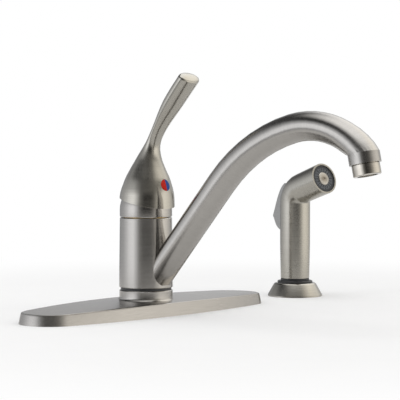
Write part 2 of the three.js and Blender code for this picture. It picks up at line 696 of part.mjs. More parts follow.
function sprayNipple() {
  const top = socketTop - GAP;
  const shoulder = SHANK_BOTTOM - GAP;
  const nipple = revolve([
    [NIPPLE_BORE, NIPPLE_BOTTOM], [NIPPLE_THREAD, NIPPLE_BOTTOM],
    [NIPPLE_THREAD, shoulder - 12], [NIPPLE_RADIUS, shoulder - 11],
    [NIPPLE_RADIUS, top], [NIPPLE_BORE, top],
  ], SMALL);
  return mesh('spray_outlet_nipple', moved(nipple, 0, NIPPLE_OFFSET, 0), 'brass');
}

function diverterValve() {
  const waist = DIVERTER_RADIUS - 1.4;
  const spool = revolve([
    [0, -diverterBack], [DIVERTER_RADIUS, -diverterBack],
    [DIVERTER_RADIUS, -diverterBack + 3], [waist, -diverterBack + 3.4],
    [waist, -diverterFront - 3.4], [DIVERTER_RADIUS, -diverterFront - 3],
    [DIVERTER_RADIUS, -diverterFront], [0, -diverterFront],
  ], TINY);
  return mesh('diverter_valve', laidForward(spool, DIVERTER_HEIGHT), 'white');
}

// ---------------------------------------------------------------------------
// Ceramic cartridge
// ---------------------------------------------------------------------------

const sealBottom = CARTRIDGE_FLOOR + GAP / 3;
const housingBottom = sealBottom + SEAL_THICKNESS + GAP / 3;
const fixedBottom = housingBottom + HOUSING_FLOOR + GAP / 3;
const fixedTop = fixedBottom + FIXED_DISC_THICKNESS;
const discBottom = fixedTop + GAP / 3;
const housingBore = CARTRIDGE_RADIUS - HOUSING_WALL;
const stemTravel = STEM_DROP * Math.sin(radians(LIFT_ANGLE));

// Three ports through a piece: hot and cold at the sides, mixed at the front.
function ports(shape, low, high) {
  let result = shape;
  for (const [x, y] of [[-PORT_CIRCLE, 0], [PORT_CIRCLE, 0], [0, -PORT_CIRCLE]]) {
    const port = rod(PORT_RADIUS, low - OVERCUT, high + OVERCUT, TINY);
    result = result.subtract(moved(port, x, y, 0));
  }
  return result;
}

function cartridgeSeal() {
  const top = sealBottom + SEAL_THICKNESS;
  const seal = ports(rod(CARTRIDGE_RADIUS - 1, sealBottom, top, SMALL), sealBottom, top);
  return mesh('cartridge_seal', seal, 'rubber');
}

function cartridgeHousing() {
  const innerNeck = TURRET_RADIUS + RUNNING;
  const shell = revolve([
    [0, housingBottom], [CARTRIDGE_RADIUS, housingBottom],
    [CARTRIDGE_RADIUS, HOUSING_SHOULDER], [NECK_RADIUS, HOUSING_SHOULDER],
    [NECK_RADIUS, NECK_TOP], [innerNeck, NECK_TOP],
    [innerNeck, TURRET_FLANGE_TOP + GAP / 3], [housingBore, TURRET_FLANGE_TOP + GAP / 3],
    [housingBore, housingBottom + HOUSING_FLOOR], [0, housingBottom + HOUSING_FLOOR],
  ], MEDIUM);
  const floorTop = housingBottom + HOUSING_FLOOR;
  return mesh('cartridge_housing', ports(shell, housingBottom, floorTop), 'white');
}

function fixedDisc() {
  const disc = ports(rod(housingBore - GAP, fixedBottom, fixedTop, SMALL), fixedBottom, fixedTop);
  return mesh('fixed_ceramic_disc', disc, 'ceramic');
}

// The moving disc starts behind the axis and slides forward as the lever
// lifts. Its flat sides run between the turret's legs.
function movingDisc() {
  const behind = stemTravel / 2;
  let disc = moved(rod(DISC_RADIUS, discBottom, DISC_TOP, SMALL), 0, behind, 0);
  disc = disc.intersect(block(
    [-DISC_FLAT, behind - DISC_RADIUS, discBottom - OVERCUT],
    [DISC_FLAT, behind + DISC_RADIUS, DISC_TOP + OVERCUT]));
  const ballHeight = PIVOT_HEIGHT - STEM_DROP;
  const pocket = rod(STEM_BALL_RADIUS + GAP, ballHeight - STEM_BALL_RADIUS - GAP,
    DISC_TOP + OVERCUT, SMALL);
  const cavity = moved(rod(DISC_RADIUS * 0.55, discBottom - OVERCUT, discBottom + 1.2, SMALL),
    0, behind, 0);
  return mesh('moving_ceramic_disc', disc.subtract(pocket).subtract(cavity), 'ceramic');
}

function turret() {
  const flangeRadius = housingBore - RUNNING;
  const flangeLow = DISC_TOP + GAP;
  let body = revolve([
    [0, flangeLow], [flangeRadius, flangeLow], [flangeRadius, TURRET_FLANGE_TOP - GAP / 3],
    [TURRET_RADIUS, TURRET_FLANGE_TOP - GAP / 3], [TURRET_RADIUS, NECK_TOP], [0, NECK_TOP],
  ], MEDIUM);
  const legs = rod(flangeRadius, discBottom + 1, flangeLow + OVERCUT, MEDIUM)
    .subtract(block([-DISC_FLAT - RUNNING, -flangeRadius, discBottom],
      [DISC_FLAT + RUNNING, flangeRadius, flangeLow]))
    .intersect(block([-flangeRadius, -DISC_RADIUS * 0.6, discBottom],
      [flangeRadius, DISC_RADIUS * 0.6, flangeLow + OVERCUT]));
  body = body.add(legs);
  // Slot in which the stem swings back above the pivot, and forward below it,
  // widened at the bottom for the stem's ball.
  const swing = Math.tan(radians(LIFT_ANGLE));
  const side = STEM_RADIUS + GAP;
  const above = NECK_TOP + OVERCUT - PIVOT_HEIGHT;
  const slope = side * swing;
  const ballFront = stemTravel + STEM_BALL_RADIUS + GAP;
  const ballTop = PIVOT_HEIGHT - STEM_DROP * Math.cos(radians(LIFT_ANGLE))
    + STEM_BALL_RADIUS + GAP;
  body = body.subtract(slab([
    [-side, PIVOT_HEIGHT + above], [-side, PIVOT_HEIGHT],
    [-side - slope - GAP, PIVOT_HEIGHT - slope], [-ballFront + STEM_NECK_RADIUS, ballTop],
    [-ballFront, ballTop - STEM_NECK_RADIUS],
    [-ballFront, DISC_TOP - OVERCUT], [side, DISC_TOP - OVERCUT],
    [side, PIVOT_HEIGHT], [side + slope, PIVOT_HEIGHT + slope / 2],
    [side + swing * above + slope / 2, PIVOT_HEIGHT + above],
  ], side));
  const pinHole = rod(PIN_RADIUS + RUNNING, -TURRET_RADIUS - OVERCUT,
    TURRET_RADIUS + OVERCUT, TINY).rotate([0, 90, 0]);
  return mesh('cartridge_turret', body.subtract(moved(pinHole, 0, 0, PIVOT_HEIGHT)), 'white');
}

function stemPin() {
  const half = TURRET_RADIUS - GAP;
  const pin = rod(PIN_RADIUS, -half, half, TINY).rotate([0, 90, 0]);
  return mesh('stem_pin', moved(pin, 0, 0, PIVOT_HEIGHT), 'steel');
}

function lever() {
  const ball = PIVOT_HEIGHT - STEM_DROP;
  const neckTop = PIVOT_HEIGHT - 5;
  const top = PIVOT_HEIGHT + STEM_RISE;
  const profile = [[0, ball - STEM_BALL_RADIUS]];
  const steps = 5;
  const open = Math.asin(STEM_NECK_RADIUS / STEM_BALL_RADIUS);
  for (let i = 1; i <= steps; i += 1) {
    const turn = ((Math.PI - open) * i) / steps;
    profile.push([STEM_BALL_RADIUS * Math.sin(turn), ball - STEM_BALL_RADIUS * Math.cos(turn)]);
  }
  profile.push([STEM_NECK_RADIUS, neckTop - 1], [STEM_RADIUS, neckTop]);
  profile.push([STEM_RADIUS, top - 0.6], [STEM_RADIUS - 0.6, top], [0, top]);
  const hole = rod(PIN_RADIUS + RUNNING, -STEM_RADIUS - OVERCUT, STEM_RADIUS + OVERCUT, TINY)
    .rotate([0, 90, 0]);
  const stem = revolve(profile, SMALL).subtract(moved(hole, 0, 0, PIVOT_HEIGHT));
  return mesh('lever_stem', stem, 'steel');
}

function retainingNut() {
  const nut = ring(RETAINER_BORE, CARTRIDGE_RADIUS, HOUSING_SHOULDER + GAP, BODY_TOP, MEDIUM);
  let slotted = nut;
  for (const turn of [0, 90]) {
    const slot = block([-1.5, -CARTRIDGE_RADIUS - OVERCUT, BODY_TOP - 2],
      [1.5, CARTRIDGE_RADIUS + OVERCUT, BODY_TOP + OVERCUT]);
    slotted = slotted.subtract(slot.rotate([0, 0, turn]));
  }
  return mesh('cartridge_retaining_nut', slotted, 'brass');
}

// Points of a quarter dome from a starting height up to an opening radius.
function domeArc(radius, opening, steps) {
  const stop = Math.acos(opening / radius);
  return Array.from({ length: steps + 1 }, (_, i) => {
    const turn = (stop * i) / steps;
    return [radius * Math.cos(turn), PIVOT_HEIGHT + radius * Math.sin(turn)];
  });
}

function bonnetCap() {
  const inner = CAP_RADIUS - CAP_WALL;
  const thread = BODY_RADIUS + GAP;
  const profile = [
    [thread, CAP_BOTTOM], [CAP_RADIUS - HUB_EDGE / 2, CAP_BOTTOM],
    [CAP_RADIUS, CAP_BOTTOM + HUB_EDGE],
    ...domeArc(CAP_RADIUS, CAP_OPENING, 6),
    ...domeArc(inner, CAP_OPENING, 3).reverse(),
    [thread, PIVOT_HEIGHT],
  ];
  return mesh('bonnet_cap', revolve(profile), 'brushed');
}

// ---------------------------------------------------------------------------
// Handle
// ---------------------------------------------------------------------------

// Stations of the handle: its height above the pivot and forward offset as
// shares of the lever's rise and reach, the section's tilt, and half width
// and half depth as shares of the skirt's radius.
const HANDLE_STATIONS = [
  { rise: -0.009, reach: 0.021, tilt: 0, width: 1, depth: 1 },
  { rise: 0.070, reach: 0.023, tilt: 0, width: 0.991, depth: 0.991 },
  { rise: 0.132, reach: 0.027, tilt: 0, width: 0.957, depth: 0.957 },
  { rise: 0.194, reach: 0.034, tilt: 0, width: 0.872, depth: 0.872 },
  { rise: 0.256, reach: 0.047, tilt: 2, width: 0.765, depth: 0.765 },
  { rise: 0.379, reach: 0.082, tilt: 8, width: 0.491, depth: 0.474 },
  { rise: 0.503, reach: 0.167, tilt: 20, width: 0.312, depth: 0.235 },
  { rise: 0.626, reach: 0.323, tilt: 30, width: 0.325, depth: 0.192 },
  { rise: 0.813, reach: 0.632, tilt: 38.5, width: 0.436, depth: 0.290 },
  { rise: 1, reach: 1, tilt: 41, width: 0.487, depth: 0.286 },
].map(({ rise, reach, tilt, width, depth }) => ({
  height: PIVOT_HEIGHT + rise * LEVER_RISE,
  forward: reach * LEVER_REACH,
  tilt,
  width: width * SKIRT_RADIUS,
  depth: depth * SKIRT_RADIUS,
}));
const HANDLE_STEPS = 4;       // rings between two stations
const HANDLE_SIDES = 28;
const TIP_ROUND = 2.2;

// The value of a station's quantity between stations, on a smooth curve.
function handleValue(quantity, place) {
  const last = HANDLE_STATIONS.length - 1;
  const low = Math.min(last - 1, Math.floor(place));
  const value = (i) => HANDLE_STATIONS[Math.min(last, Math.max(0, i))][quantity];
  const [before, from, to, after] = [low - 1, low, low + 1, low + 2].map(value);
  const t = place - low;
  const startSlope = (to - before) / 2;
  const endSlope = (after - from) / 2;
  const [a, b] = [t ** 2 * (3 - 2 * t), t * (1 - t)];
  return from * (1 - a) + to * a + b * (startSlope * (1 - t) - endSlope * t);
}

function handleRing(place, shrink, rise) {
  const [height, forward, tilt, width, depth] = ['height', 'forward', 'tilt', 'width', 'depth']
    .map((quantity) => handleValue(quantity, place));
  const lean = radians(tilt);
  return sectionRing(forward + rise * Math.sin(lean), height + rise * Math.cos(lean), tilt,
    width - shrink, depth - shrink, HANDLE_SIDES);
}

// Unit vector out of the button's seat, and the seat's centre on the skirt.
const buttonLean = radians(BUTTON_TILT);
const buttonSeat = HANDLE_STATIONS[3].forward + HANDLE_STATIONS[3].depth;

// Moves a piece built about +Z at the origin to point out of the seat.
function atButton(body, depth) {
  const forward = buttonSeat - depth * Math.cos(buttonLean);
  const height = BUTTON_HEIGHT - depth * Math.sin(buttonLean);
  return body.rotate([90 - BUTTON_TILT, 0, 0]).translate([0, -forward, height]);
}

const screwTip = STEM_RADIUS + GAP / 3;

function handle() {
  const last = HANDLE_STATIONS.length - 1;
  const rings = [];
  for (let i = 0; i <= last * HANDLE_STEPS; i += 1) {
    const place = i / HANDLE_STEPS;
    const dense = place <= 1 ? i % HANDLE_STEPS === 0 : (place < 5 ? i % 2 === 0 : true);
    if (dense) rings.push(handleRing(place, 0, 0));
  }
  const domeSteps = 3;
  for (let i = 1; i <= domeSteps; i += 1) {
    const turn = (Math.PI / 2) * (i / domeSteps);
    rings.push(handleRing(last, TIP_ROUND * (1 - Math.cos(turn)), TIP_ROUND * Math.sin(turn)));
  }
  rings.push(handleRing(last, HANDLE_STATIONS[last].depth * 0.65, TIP_ROUND + 0.7));
  let body = loft(rings);
  const reach = 60;
  const cut = tilted(block([-reach, -reach, SKIRT_HEIGHT - reach], [reach, reach, SKIRT_HEIGHT]),
    SKIRT_SLOPE, 0, SKIRT_HEIGHT);
  const inside = CAP_RADIUS + HANDLE_CLEARANCE;
  const dome = moved(solid(new THREE.SphereGeometry(inside, MEDIUM, 10).rotateX(Math.PI / 2)),
    0, 0, PIVOT_HEIGHT);
  const hub = block([-HUB_HALF_WIDTH, -HUB_FRONT, HUB_FOOT],
    [HUB_HALF_WIDTH, HUB_BACK, PIVOT_HEIGHT + inside + OVERCUT]);
  const socket = rod(STEM_RADIUS + GAP, PIVOT_HEIGHT, PIVOT_HEIGHT + STEM_RISE + SOCKET_DEPTH,
    SMALL);
  const screwBore = laidForward(rod(SET_SCREW_RADIUS + GAP / 2, 0, buttonSeat - BUTTON_DEPTH,
    SMALL), BUTTON_HEIGHT);
  const buttonBore = atButton(rod(BUTTON_RADIUS + GAP / 3, -BUTTON_DEPTH, OVERCUT * 2, SMALL), 0);
  body = body.subtract(cut).subtract(dome).add(hub).subtract(socket);
  return mesh('handle', body.subtract(screwBore).subtract(buttonBore), 'brushed');
}

function setScrew() {
  const end = screwTip + SET_SCREW_LENGTH;
  const screw = rod(SET_SCREW_RADIUS, screwTip, end, SMALL).subtract(rod(1.3, end - 2.5,
    end + OVERCUT, 6));
  return mesh('handle_set_screw', laidForward(screw, BUTTON_HEIGHT), 'steel');
}

function indexButton() {
  const button = revolve([
    [0, -BUTTON_DEPTH + GAP / 2], [BUTTON_RADIUS, -BUTTON_DEPTH + GAP / 2],
    [BUTTON_RADIUS, -0.1], [BUTTON_RADIUS - 0.8, 0.35], [0, 0.6],
  ], SMALL);
  return mesh('index_button', atButton(button, 0), 'button');
}

// ---------------------------------------------------------------------------
// Spout and aerator
// ---------------------------------------------------------------------------

// Stations along the spout's centreline: forward, height and slope.
function spoutPath() {
  const path = [];
  const rise = radians(SPOUT_RISE_ANGLE);
  const start = { forward: SPOUT_START, height: SPOUT_ROOT_HEIGHT };
  for (const length of [0, SPOUT_RISE_LENGTH * 0.5, SPOUT_RISE_LENGTH]) {
    path.push({
      forward: start.forward + length * Math.cos(rise),
      height: start.height + length * Math.sin(rise),
      slope: SPOUT_RISE_ANGLE,
    });
  }
  const bends = [
    [SPOUT_BEND_RADIUS, SPOUT_RISE_ANGLE, SPOUT_BEND_END, 7],
    [SPOUT_CROWN_BEND, SPOUT_BEND_END, SPOUT_CROWN_END, 7],
  ];
  for (const [radius, from, to, steps] of bends) {
    const last = path[path.length - 1];
    const centreForward = last.forward + radius * Math.sin(radians(from));
    const centreHeight = last.height - radius * Math.cos(radians(from));
    for (let i = 1; i <= steps; i += 1) {
      const slope = from + ((to - from) * i) / steps;
      path.push({
        forward: centreForward - radius * Math.sin(radians(slope)),
        height: centreHeight + radius * Math.cos(radians(slope)),
        slope,
      });
    }
  }
  return path;
}

// Sections of the spout; a wall of zero gives the outside.
function spoutRings(wall, count) {
  const path = spoutPath();
  const rings = path.map(({ forward, height, slope }, i) => {
    const share = Math.min(1, Math.max(0, (i - 3) / (path.length - 4)));
    const radius = SPOUT_RADIUS + (SPOUT_CROWN_RADIUS - SPOUT_RADIUS) * share - wall;
    return sectionRing(forward, height, 90 - slope, radius, radius, count);
  });
  const from = path[path.length - 1];
  const endSlope = -90 + OUTLET_TILT;
  const lead = 9;
  const curve = new THREE.CubicBezierCurve(
    new THREE.Vector2(from.forward, from.height),
    new THREE.Vector2(from.forward + lead * Math.cos(radians(from.slope)),
      from.height + lead * Math.sin(radians(from.slope))),
    new THREE.Vector2(OUTLET_FORWARD - lead * 0.6 * Math.cos(radians(from.slope * 2)),
      OUTLET_HEIGHT - lead * 0.6 * Math.sin(radians(from.slope * 2))),
    new THREE.Vector2(OUTLET_FORWARD, OUTLET_HEIGHT));
  const steps = 4;
  for (let i = 1; i <= steps; i += 1) {
    const t = i / steps;
    const at = curve.getPoint(t);
    const slope = from.slope + (endSlope - from.slope) * t;
    const end = wall > 0 ? OUTLET_BORE : OUTLET_RADIUS;
    const radius = (SPOUT_CROWN_RADIUS - wall) * (1 - t) + end * t;
    rings.push(sectionRing(at.x, at.y, 90 - slope, radius, radius, count));
  }
  return rings;
}

// Moves a piece built about Z, with the seam at the origin and the outlet
// downwards, to the spout's outlet.
const atOutlet = (body) => body.rotate([-OUTLET_TILT, 0, 0])
  .translate([0, -OUTLET_FORWARD, OUTLET_HEIGHT]);

const hubBore = BODY_RADIUS + RUNNING;

function spout() {
  const hub = revolve([
    [0, SEAM_HEIGHT], [HUB_BOTTOM_RADIUS - HUB_EDGE, SEAM_HEIGHT],
    [HUB_BOTTOM_RADIUS, SEAM_HEIGHT + HUB_EDGE], [HUB_TOP_RADIUS, HUB_TOP - HUB_EDGE],
    [HUB_TOP_RADIUS - HUB_EDGE, HUB_TOP], [0, HUB_TOP],
  ]);
  const reach = OUTLET_FORWARD + 2 * SPOUT_RADIUS;
  const above = block([-reach, -reach, SPOUT_FOOT_HEIGHT], [reach, reach, reach]);
  const outlet = atOutlet(rod(OUTLET_RADIUS, -OUTLET_LENGTH, 0.05, SPOUT_SIDES));
  const bore = atOutlet(rod(OUTLET_BORE, -OUTLET_LENGTH - OVERCUT, 0.05, 12));
  const socket = atOutlet(rod(OUTLET_SOCKET, -OUTLET_LENGTH - OVERCUT,
    OUTLET_SOCKET_DEPTH - OUTLET_LENGTH, SMALL));
  const outside = loft(spoutRings(0, SPOUT_SIDES)).intersect(above).add(outlet);
  const inside = loft(spoutRings(SPOUT_WALL, 12)).intersect(
    block([-reach, -reach, SPOUT_FOOT_HEIGHT + 8], [reach, reach, reach]));
  const hubHole = rod(hubBore, SEAM_HEIGHT - OVERCUT, HUB_TOP + OVERCUT, ROUND);
  const shape = hub.add(outside).subtract(inside).subtract(hubHole);
  return mesh('spout', shape.subtract(bore).subtract(socket), 'brushed');
}

const housingTop = OUTLET_SOCKET_DEPTH - OUTLET_LENGTH - 1.6;
const aeratorBottom = -OUTLET_LENGTH - AERATOR_PROUD;

function aeratorWasher() {
  const washer = ring(AERATOR_THREAD - 3.2, AERATOR_THREAD, housingTop + GAP / 3,
    OUTLET_SOCKET_DEPTH - OUTLET_LENGTH - GAP / 3, SMALL);
  return mesh('aerator_washer', atOutlet(washer), 'rubber');
}

function aeratorHousing() {
  const inner = AERATOR_THREAD - AERATOR_WALL;
  const shell = revolve([
    [AERATOR_THREAD - AERATOR_LIP, aeratorBottom], [AERATOR_RADIUS - 0.6, aeratorBottom],
    [AERATOR_RADIUS, aeratorBottom + 0.6], [AERATOR_RADIUS, -OUTLET_LENGTH - GAP - 0.4],
    [AERATOR_THREAD, -OUTLET_LENGTH - GAP], [AERATOR_THREAD, housingTop],
    [inner, housingTop], [inner, aeratorBottom + 1.6],
    [AERATOR_THREAD - AERATOR_LIP, aeratorBottom + 1.6],
  ], MEDIUM);
  return mesh('aerator_housing', atOutlet(shell), 'polished');
}

function aeratorInsert() {
  const radius = AERATOR_THREAD - AERATOR_WALL - GAP;
  const low = aeratorBottom + 1.6 + GAP;
  let insert = rod(radius, low, low + INSERT_HEIGHT, SMALL);
  const cells = 6;
  for (let i = 0; i < cells; i += 1) {
    const turn = (2 * Math.PI * i) / cells;
    const cell = rod(2.1, low - OVERCUT, low + INSERT_HEIGHT + OVERCUT, 6);
    insert = insert.subtract(moved(cell, 5.2 * Math.cos(turn), 5.2 * Math.sin(turn), 0));
  }
  insert = insert.subtract(rod(1.9, low - OVERCUT, low + INSERT_HEIGHT + OVERCUT, 6));
  return mesh('aerator_insert', atOutlet(insert), 'white');
}

// ---------------------------------------------------------------------------
// Side spray; built about its own axis and moved to its hole
// ---------------------------------------------------------------------------

const sprayTangent = SPRAY_BEND_RADIUS * Math.tan(radians((90 - SPRAY_HEAD_ANGLE) / 2));
const sprayBendBottom = SPRAY_AXIS_HEIGHT - sprayTangent;
const headLean = 90 - SPRAY_HEAD_ANGLE;

// Rings of the spray's shell: the tapered tube, the bend, and the head.
function sprayRings(wall, count, past) {
  const rings = [
    [SPRAY_FOOT - past, SPRAY_FOOT_RADIUS], [SPRAY_TAPER_TOP, SPRAY_TUBE_RADIUS],
  ].map(([height, radius]) => sectionRing(0, height, 0, radius - wall, radius - wall, count));
  const radius = SPRAY_TUBE_RADIUS - wall;
  const steps = 7;
  for (let i = 0; i <= steps; i += 1) {
    const turn = (headLean * i) / steps;
    rings.push(sectionRing(
      SPRAY_BEND_RADIUS * (1 - Math.cos(radians(turn))),
      sprayBendBottom + SPRAY_BEND_RADIUS * Math.sin(radians(turn)),
      turn, radius, radius, count));
  }
  const along = SPRAY_REACH + past;
  rings.push(sectionRing(
    along * Math.sin(radians(headLean)), SPRAY_AXIS_HEIGHT + along * Math.cos(radians(headLean)),
    headLean, HEAD_RADIUS - wall, HEAD_RADIUS - wall, count));
  return rings;
}

// Moves a piece built about Z to the head, with its origin on the face.
function atHead(body) {
  return body.rotate([headLean, 0, 0]).translate([
    0, -SPRAY_REACH * Math.sin(radians(headLean)),
    SPRAY_AXIS_HEIGHT + SPRAY_REACH * Math.cos(radians(headLean)),
  ]);
}

const pocketHalf = TRIGGER_WIDTH / 2 + GAP;
const triggerPress = (TRIGGER_PIN_HEIGHT - TRIGGER_BOTTOM) * Math.sin(radians(TRIGGER_ANGLE));
const pocketInner = Math.min(TRIGGER_INNER - triggerPress, TRIGGER_PIN_Y - TRIGGER_EYE) - 2 * GAP;
const pocketFoot = TRIGGER_BOTTOM - GAP
  - (SPRAY_TUBE_RADIUS - TRIGGER_PIN_Y) * Math.sin(radians(TRIGGER_ANGLE));

function sprayShell() {
  const outside = loft(sprayRings(0, SPOUT_SIDES, 0));
  const inside = loft(sprayRings(SPRAY_WALL, SMALL, OVERCUT));
  const face = atHead(rod(FACE_RADIUS + GAP / 3, -FACE_RECESS - FACE_THICKNESS - GAP,
    OVERCUT, MEDIUM));
  const pocket = block([-pocketHalf, pocketInner, pocketFoot],
    [pocketHalf, 2 * SPRAY_TUBE_RADIUS, TRIGGER_TOP + 2 * GAP]);
  const pinEnd = TRIGGER_PIN_HALF + GAP;
  const pinHole = moved(rod(TRIGGER_PIN_RADIUS + GAP / 2, -pinEnd, pinEnd, TINY)
    .rotate([0, 90, 0]), 0, TRIGGER_PIN_Y, TRIGGER_PIN_HEIGHT);
  return outside.subtract(inside).subtract(face).subtract(pocket).subtract(pinHole);
}

function sprayFace() {
  let face = rod(FACE_RADIUS, -FACE_RECESS - FACE_THICKNESS, -FACE_RECESS, MEDIUM);
  const low = -FACE_RECESS - FACE_THICKNESS - OVERCUT;
  for (let i = 0; i < FACE_HOLES; i += 1) {
    const turn = (2 * Math.PI * i) / FACE_HOLES;
    const hole = rod(FACE_HOLE_RADIUS, low, OVERCUT, 5);
    face = face.subtract(moved(hole, FACE_HOLE_CIRCLE * Math.cos(turn),
      FACE_HOLE_CIRCLE * Math.sin(turn), 0));
  }
  face = face.subtract(rod(BUTTON_DISC_RADIUS + GAP / 3, low, OVERCUT, MEDIUM));
  return mesh('spray_face', atHead(face), 'grey');
}

function sprayFaceDisc() {
  const disc = revolve([
    [0, -FACE_RECESS - FACE_THICKNESS], [BUTTON_DISC_RADIUS, -FACE_RECESS - FACE_THICKNESS],
    [BUTTON_DISC_RADIUS, BUTTON_DISC_PROUD - FACE_RECESS - 0.4],
    [BUTTON_DISC_RADIUS - 0.5, BUTTON_DISC_PROUD - FACE_RECESS],
    [1.6, BUTTON_DISC_PROUD - FACE_RECESS], [1.1, BUTTON_DISC_PROUD - FACE_RECESS - 0.4],
    [0, BUTTON_DISC_PROUD - FACE_RECESS - 0.4],
  ], MEDIUM);
  return mesh('spray_face_disc', atHead(disc), 'polished');
}

// The trigger's back in side view, from its foot up: a hollow step out to the
// thumb's ledge, and a long curve that runs into the bend of the shell.
function triggerBack() {
  const ledge = new THREE.Vector2(TRIGGER_TIP_REACH, TRIGGER_TIP_HEIGHT);
  const step = new THREE.CubicBezierCurve(
    new THREE.Vector2(SPRAY_TUBE_RADIUS - GAP, TRIGGER_BOTTOM),
    new THREE.Vector2(TRIGGER_TIP_REACH - 3.4, TRIGGER_BOTTOM + 3),
    new THREE.Vector2(TRIGGER_TIP_REACH - 3.7, TRIGGER_TIP_HEIGHT - 6.4),
    ledge);
  const long = new THREE.CubicBezierCurve(
    ledge,
    new THREE.Vector2(TRIGGER_TIP_REACH - 5.7, TRIGGER_TIP_HEIGHT + 15),
    new THREE.Vector2(TRIGGER_TIP_REACH - 8.2, TRIGGER_TOP - 5.2),
    new THREE.Vector2(TRIGGER_TOP_REACH, TRIGGER_TOP));
  return [...step.getPoints(5), ...long.getPoints(7).slice(1)];
}

// A level section of the trigger, with a crowned back and rounded corners.
function triggerSection({ x: reach, y: height }) {
  const half = TRIGGER_WIDTH / 2;
  return [
    [-half, 0], [-half, reach - 1], [-half + 0.5, reach - 0.2], [-half * 0.6, reach + 0.2],
    [0, reach + 0.4], [half * 0.6, reach + 0.2], [half - 0.5, reach - 0.2],
    [half, reach - 1], [half, 0],
  ].map(([x, y]) => new THREE.Vector3(x, y, height));
}

function trigger() {
  const far = 2 * TRIGGER_TIP_REACH;
  const inside = slab([
    [far, TRIGGER_BOTTOM - OVERCUT], [TRIGGER_INNER, TRIGGER_BOTTOM - OVERCUT],
    [TRIGGER_INNER, TRIGGER_PIN_HEIGHT - 5.5],
    [TRIGGER_PIN_Y - TRIGGER_EYE, TRIGGER_PIN_HEIGHT - TRIGGER_EYE],
    [TRIGGER_PIN_Y - TRIGGER_EYE, TRIGGER_TOP + OVERCUT], [far, TRIGGER_TOP + OVERCUT],
  ], TRIGGER_WIDTH);
  const pinHole = moved(rod(TRIGGER_PIN_RADIUS + GAP / 2, -TRIGGER_WIDTH, TRIGGER_WIDTH, TINY)
    .rotate([0, 90, 0]), 0, TRIGGER_PIN_Y, TRIGGER_PIN_HEIGHT);
  return loft(triggerBack().map(triggerSection)).intersect(inside).subtract(pinHole);
}

function triggerPin() {
  const pin = rod(TRIGGER_PIN_RADIUS, -TRIGGER_PIN_HALF, TRIGGER_PIN_HALF, TINY)
    .rotate([0, 90, 0]);
  return moved(pin, 0, TRIGGER_PIN_Y, TRIGGER_PIN_HEIGHT);
}

const coreBack = CORE_OFFSET + CORE_RADIUS;
const valveTravel = (TRIGGER_PIN_HEIGHT - VALVE_HEIGHT) * Math.sin(radians(TRIGGER_ANGLE));
const valveHeadBack = TRIGGER_INNER - GAP / 3;
const valveFront = coreBack - 6;
const springLow = valveFront - valveTravel - GAP - 2.6;

// The water core: a pipe up the tube with a cross bore for the valve.
function sprayCore() {
  let core = rod(CORE_RADIUS, COUPLING_TOP + GAP, CORE_TOP, SMALL);
  core = moved(core, 0, CORE_OFFSET, 0);
  const bore = rod(VALVE_STEM_RADIUS + GAP / 2, -coreBack - OVERCUT, -springLow, TINY);
  const pipe = moved(rod(1.9, COUPLING_TOP, VALVE_HEIGHT - 4, TINY), 0, CORE_OFFSET, 0);
  const upper = moved(rod(1.9, VALVE_HEIGHT + 4, CORE_TOP + OVERCUT, TINY), 0, CORE_OFFSET, 0);
  return core.subtract(laidForward(bore, VALVE_HEIGHT)).subtract(pipe).subtract(upper);
}

function valveStem() {
  const neck = -coreBack - GAP - valveTravel;
  const stem = revolve([
    [0, -valveHeadBack], [VALVE_TIP, -valveHeadBack],
    [VALVE_STEM_HEAD, -valveHeadBack + VALVE_TIP], [VALVE_STEM_HEAD, neck - GAP],
    [VALVE_STEM_RADIUS, neck - GAP], [VALVE_STEM_RADIUS, -valveFront], [0, -valveFront],
  ], TINY);
  return laidForward(stem, VALVE_HEIGHT);
}

// The return spring, at its pressed length, in the core's bore.
function valveSpring() {
  const radius = VALVE_STEM_RADIUS - SPRING_WIRE - GAP / 3;
  const length = 2.6 - 2 * SPRING_WIRE - GAP;
  const stepsPerTurn = 8;
  const total = SPRING_TURNS * stepsPerTurn;
  const start = springLow + SPRING_WIRE + GAP / 3;
  const rings = Array.from({ length: total + 1 }, (_, i) => {
    const turn = (2 * Math.PI * i) / stepsPerTurn;
    const [cos, sin] = [Math.cos(turn), Math.sin(turn)];
    const wire = SPRING_WIRE / 2;
    return Array.from({ length: 5 }, (__, j) => {
      const around = (2 * Math.PI * j) / 5;
      const out = radius + wire * Math.cos(around);
      return new THREE.Vector3(out * cos, start + (length * i) / total + wire * Math.sin(around),
        out * sin);
    });
  });
  return moved(loft(rings), 0, 0, VALVE_HEIGHT);
}

function hoseCoupling() {
  const neck = SPRAY_FOOT_RADIUS - SPRAY_WALL - 2 * GAP;
  return revolve([
    [NIPPLE_BORE, COUPLING_BOTTOM], [COUPLING_RADIUS - 1, COUPLING_BOTTOM],
    [COUPLING_RADIUS, COUPLING_BOTTOM + 1], [COUPLING_RADIUS, SPRAY_FOOT],
    [neck, SPRAY_FOOT + 2], [neck, COUPLING_TOP], [NIPPLE_BORE, COUPLING_TOP],
  ], MEDIUM);
}

// ---------------------------------------------------------------------------
// Spray holder in the deck
// ---------------------------------------------------------------------------

const guideStepBottom = GUIDE_TOP - GUIDE_STEP_HEIGHT;
const guideBottom = FLANGE_HEIGHT + GAP / 3;

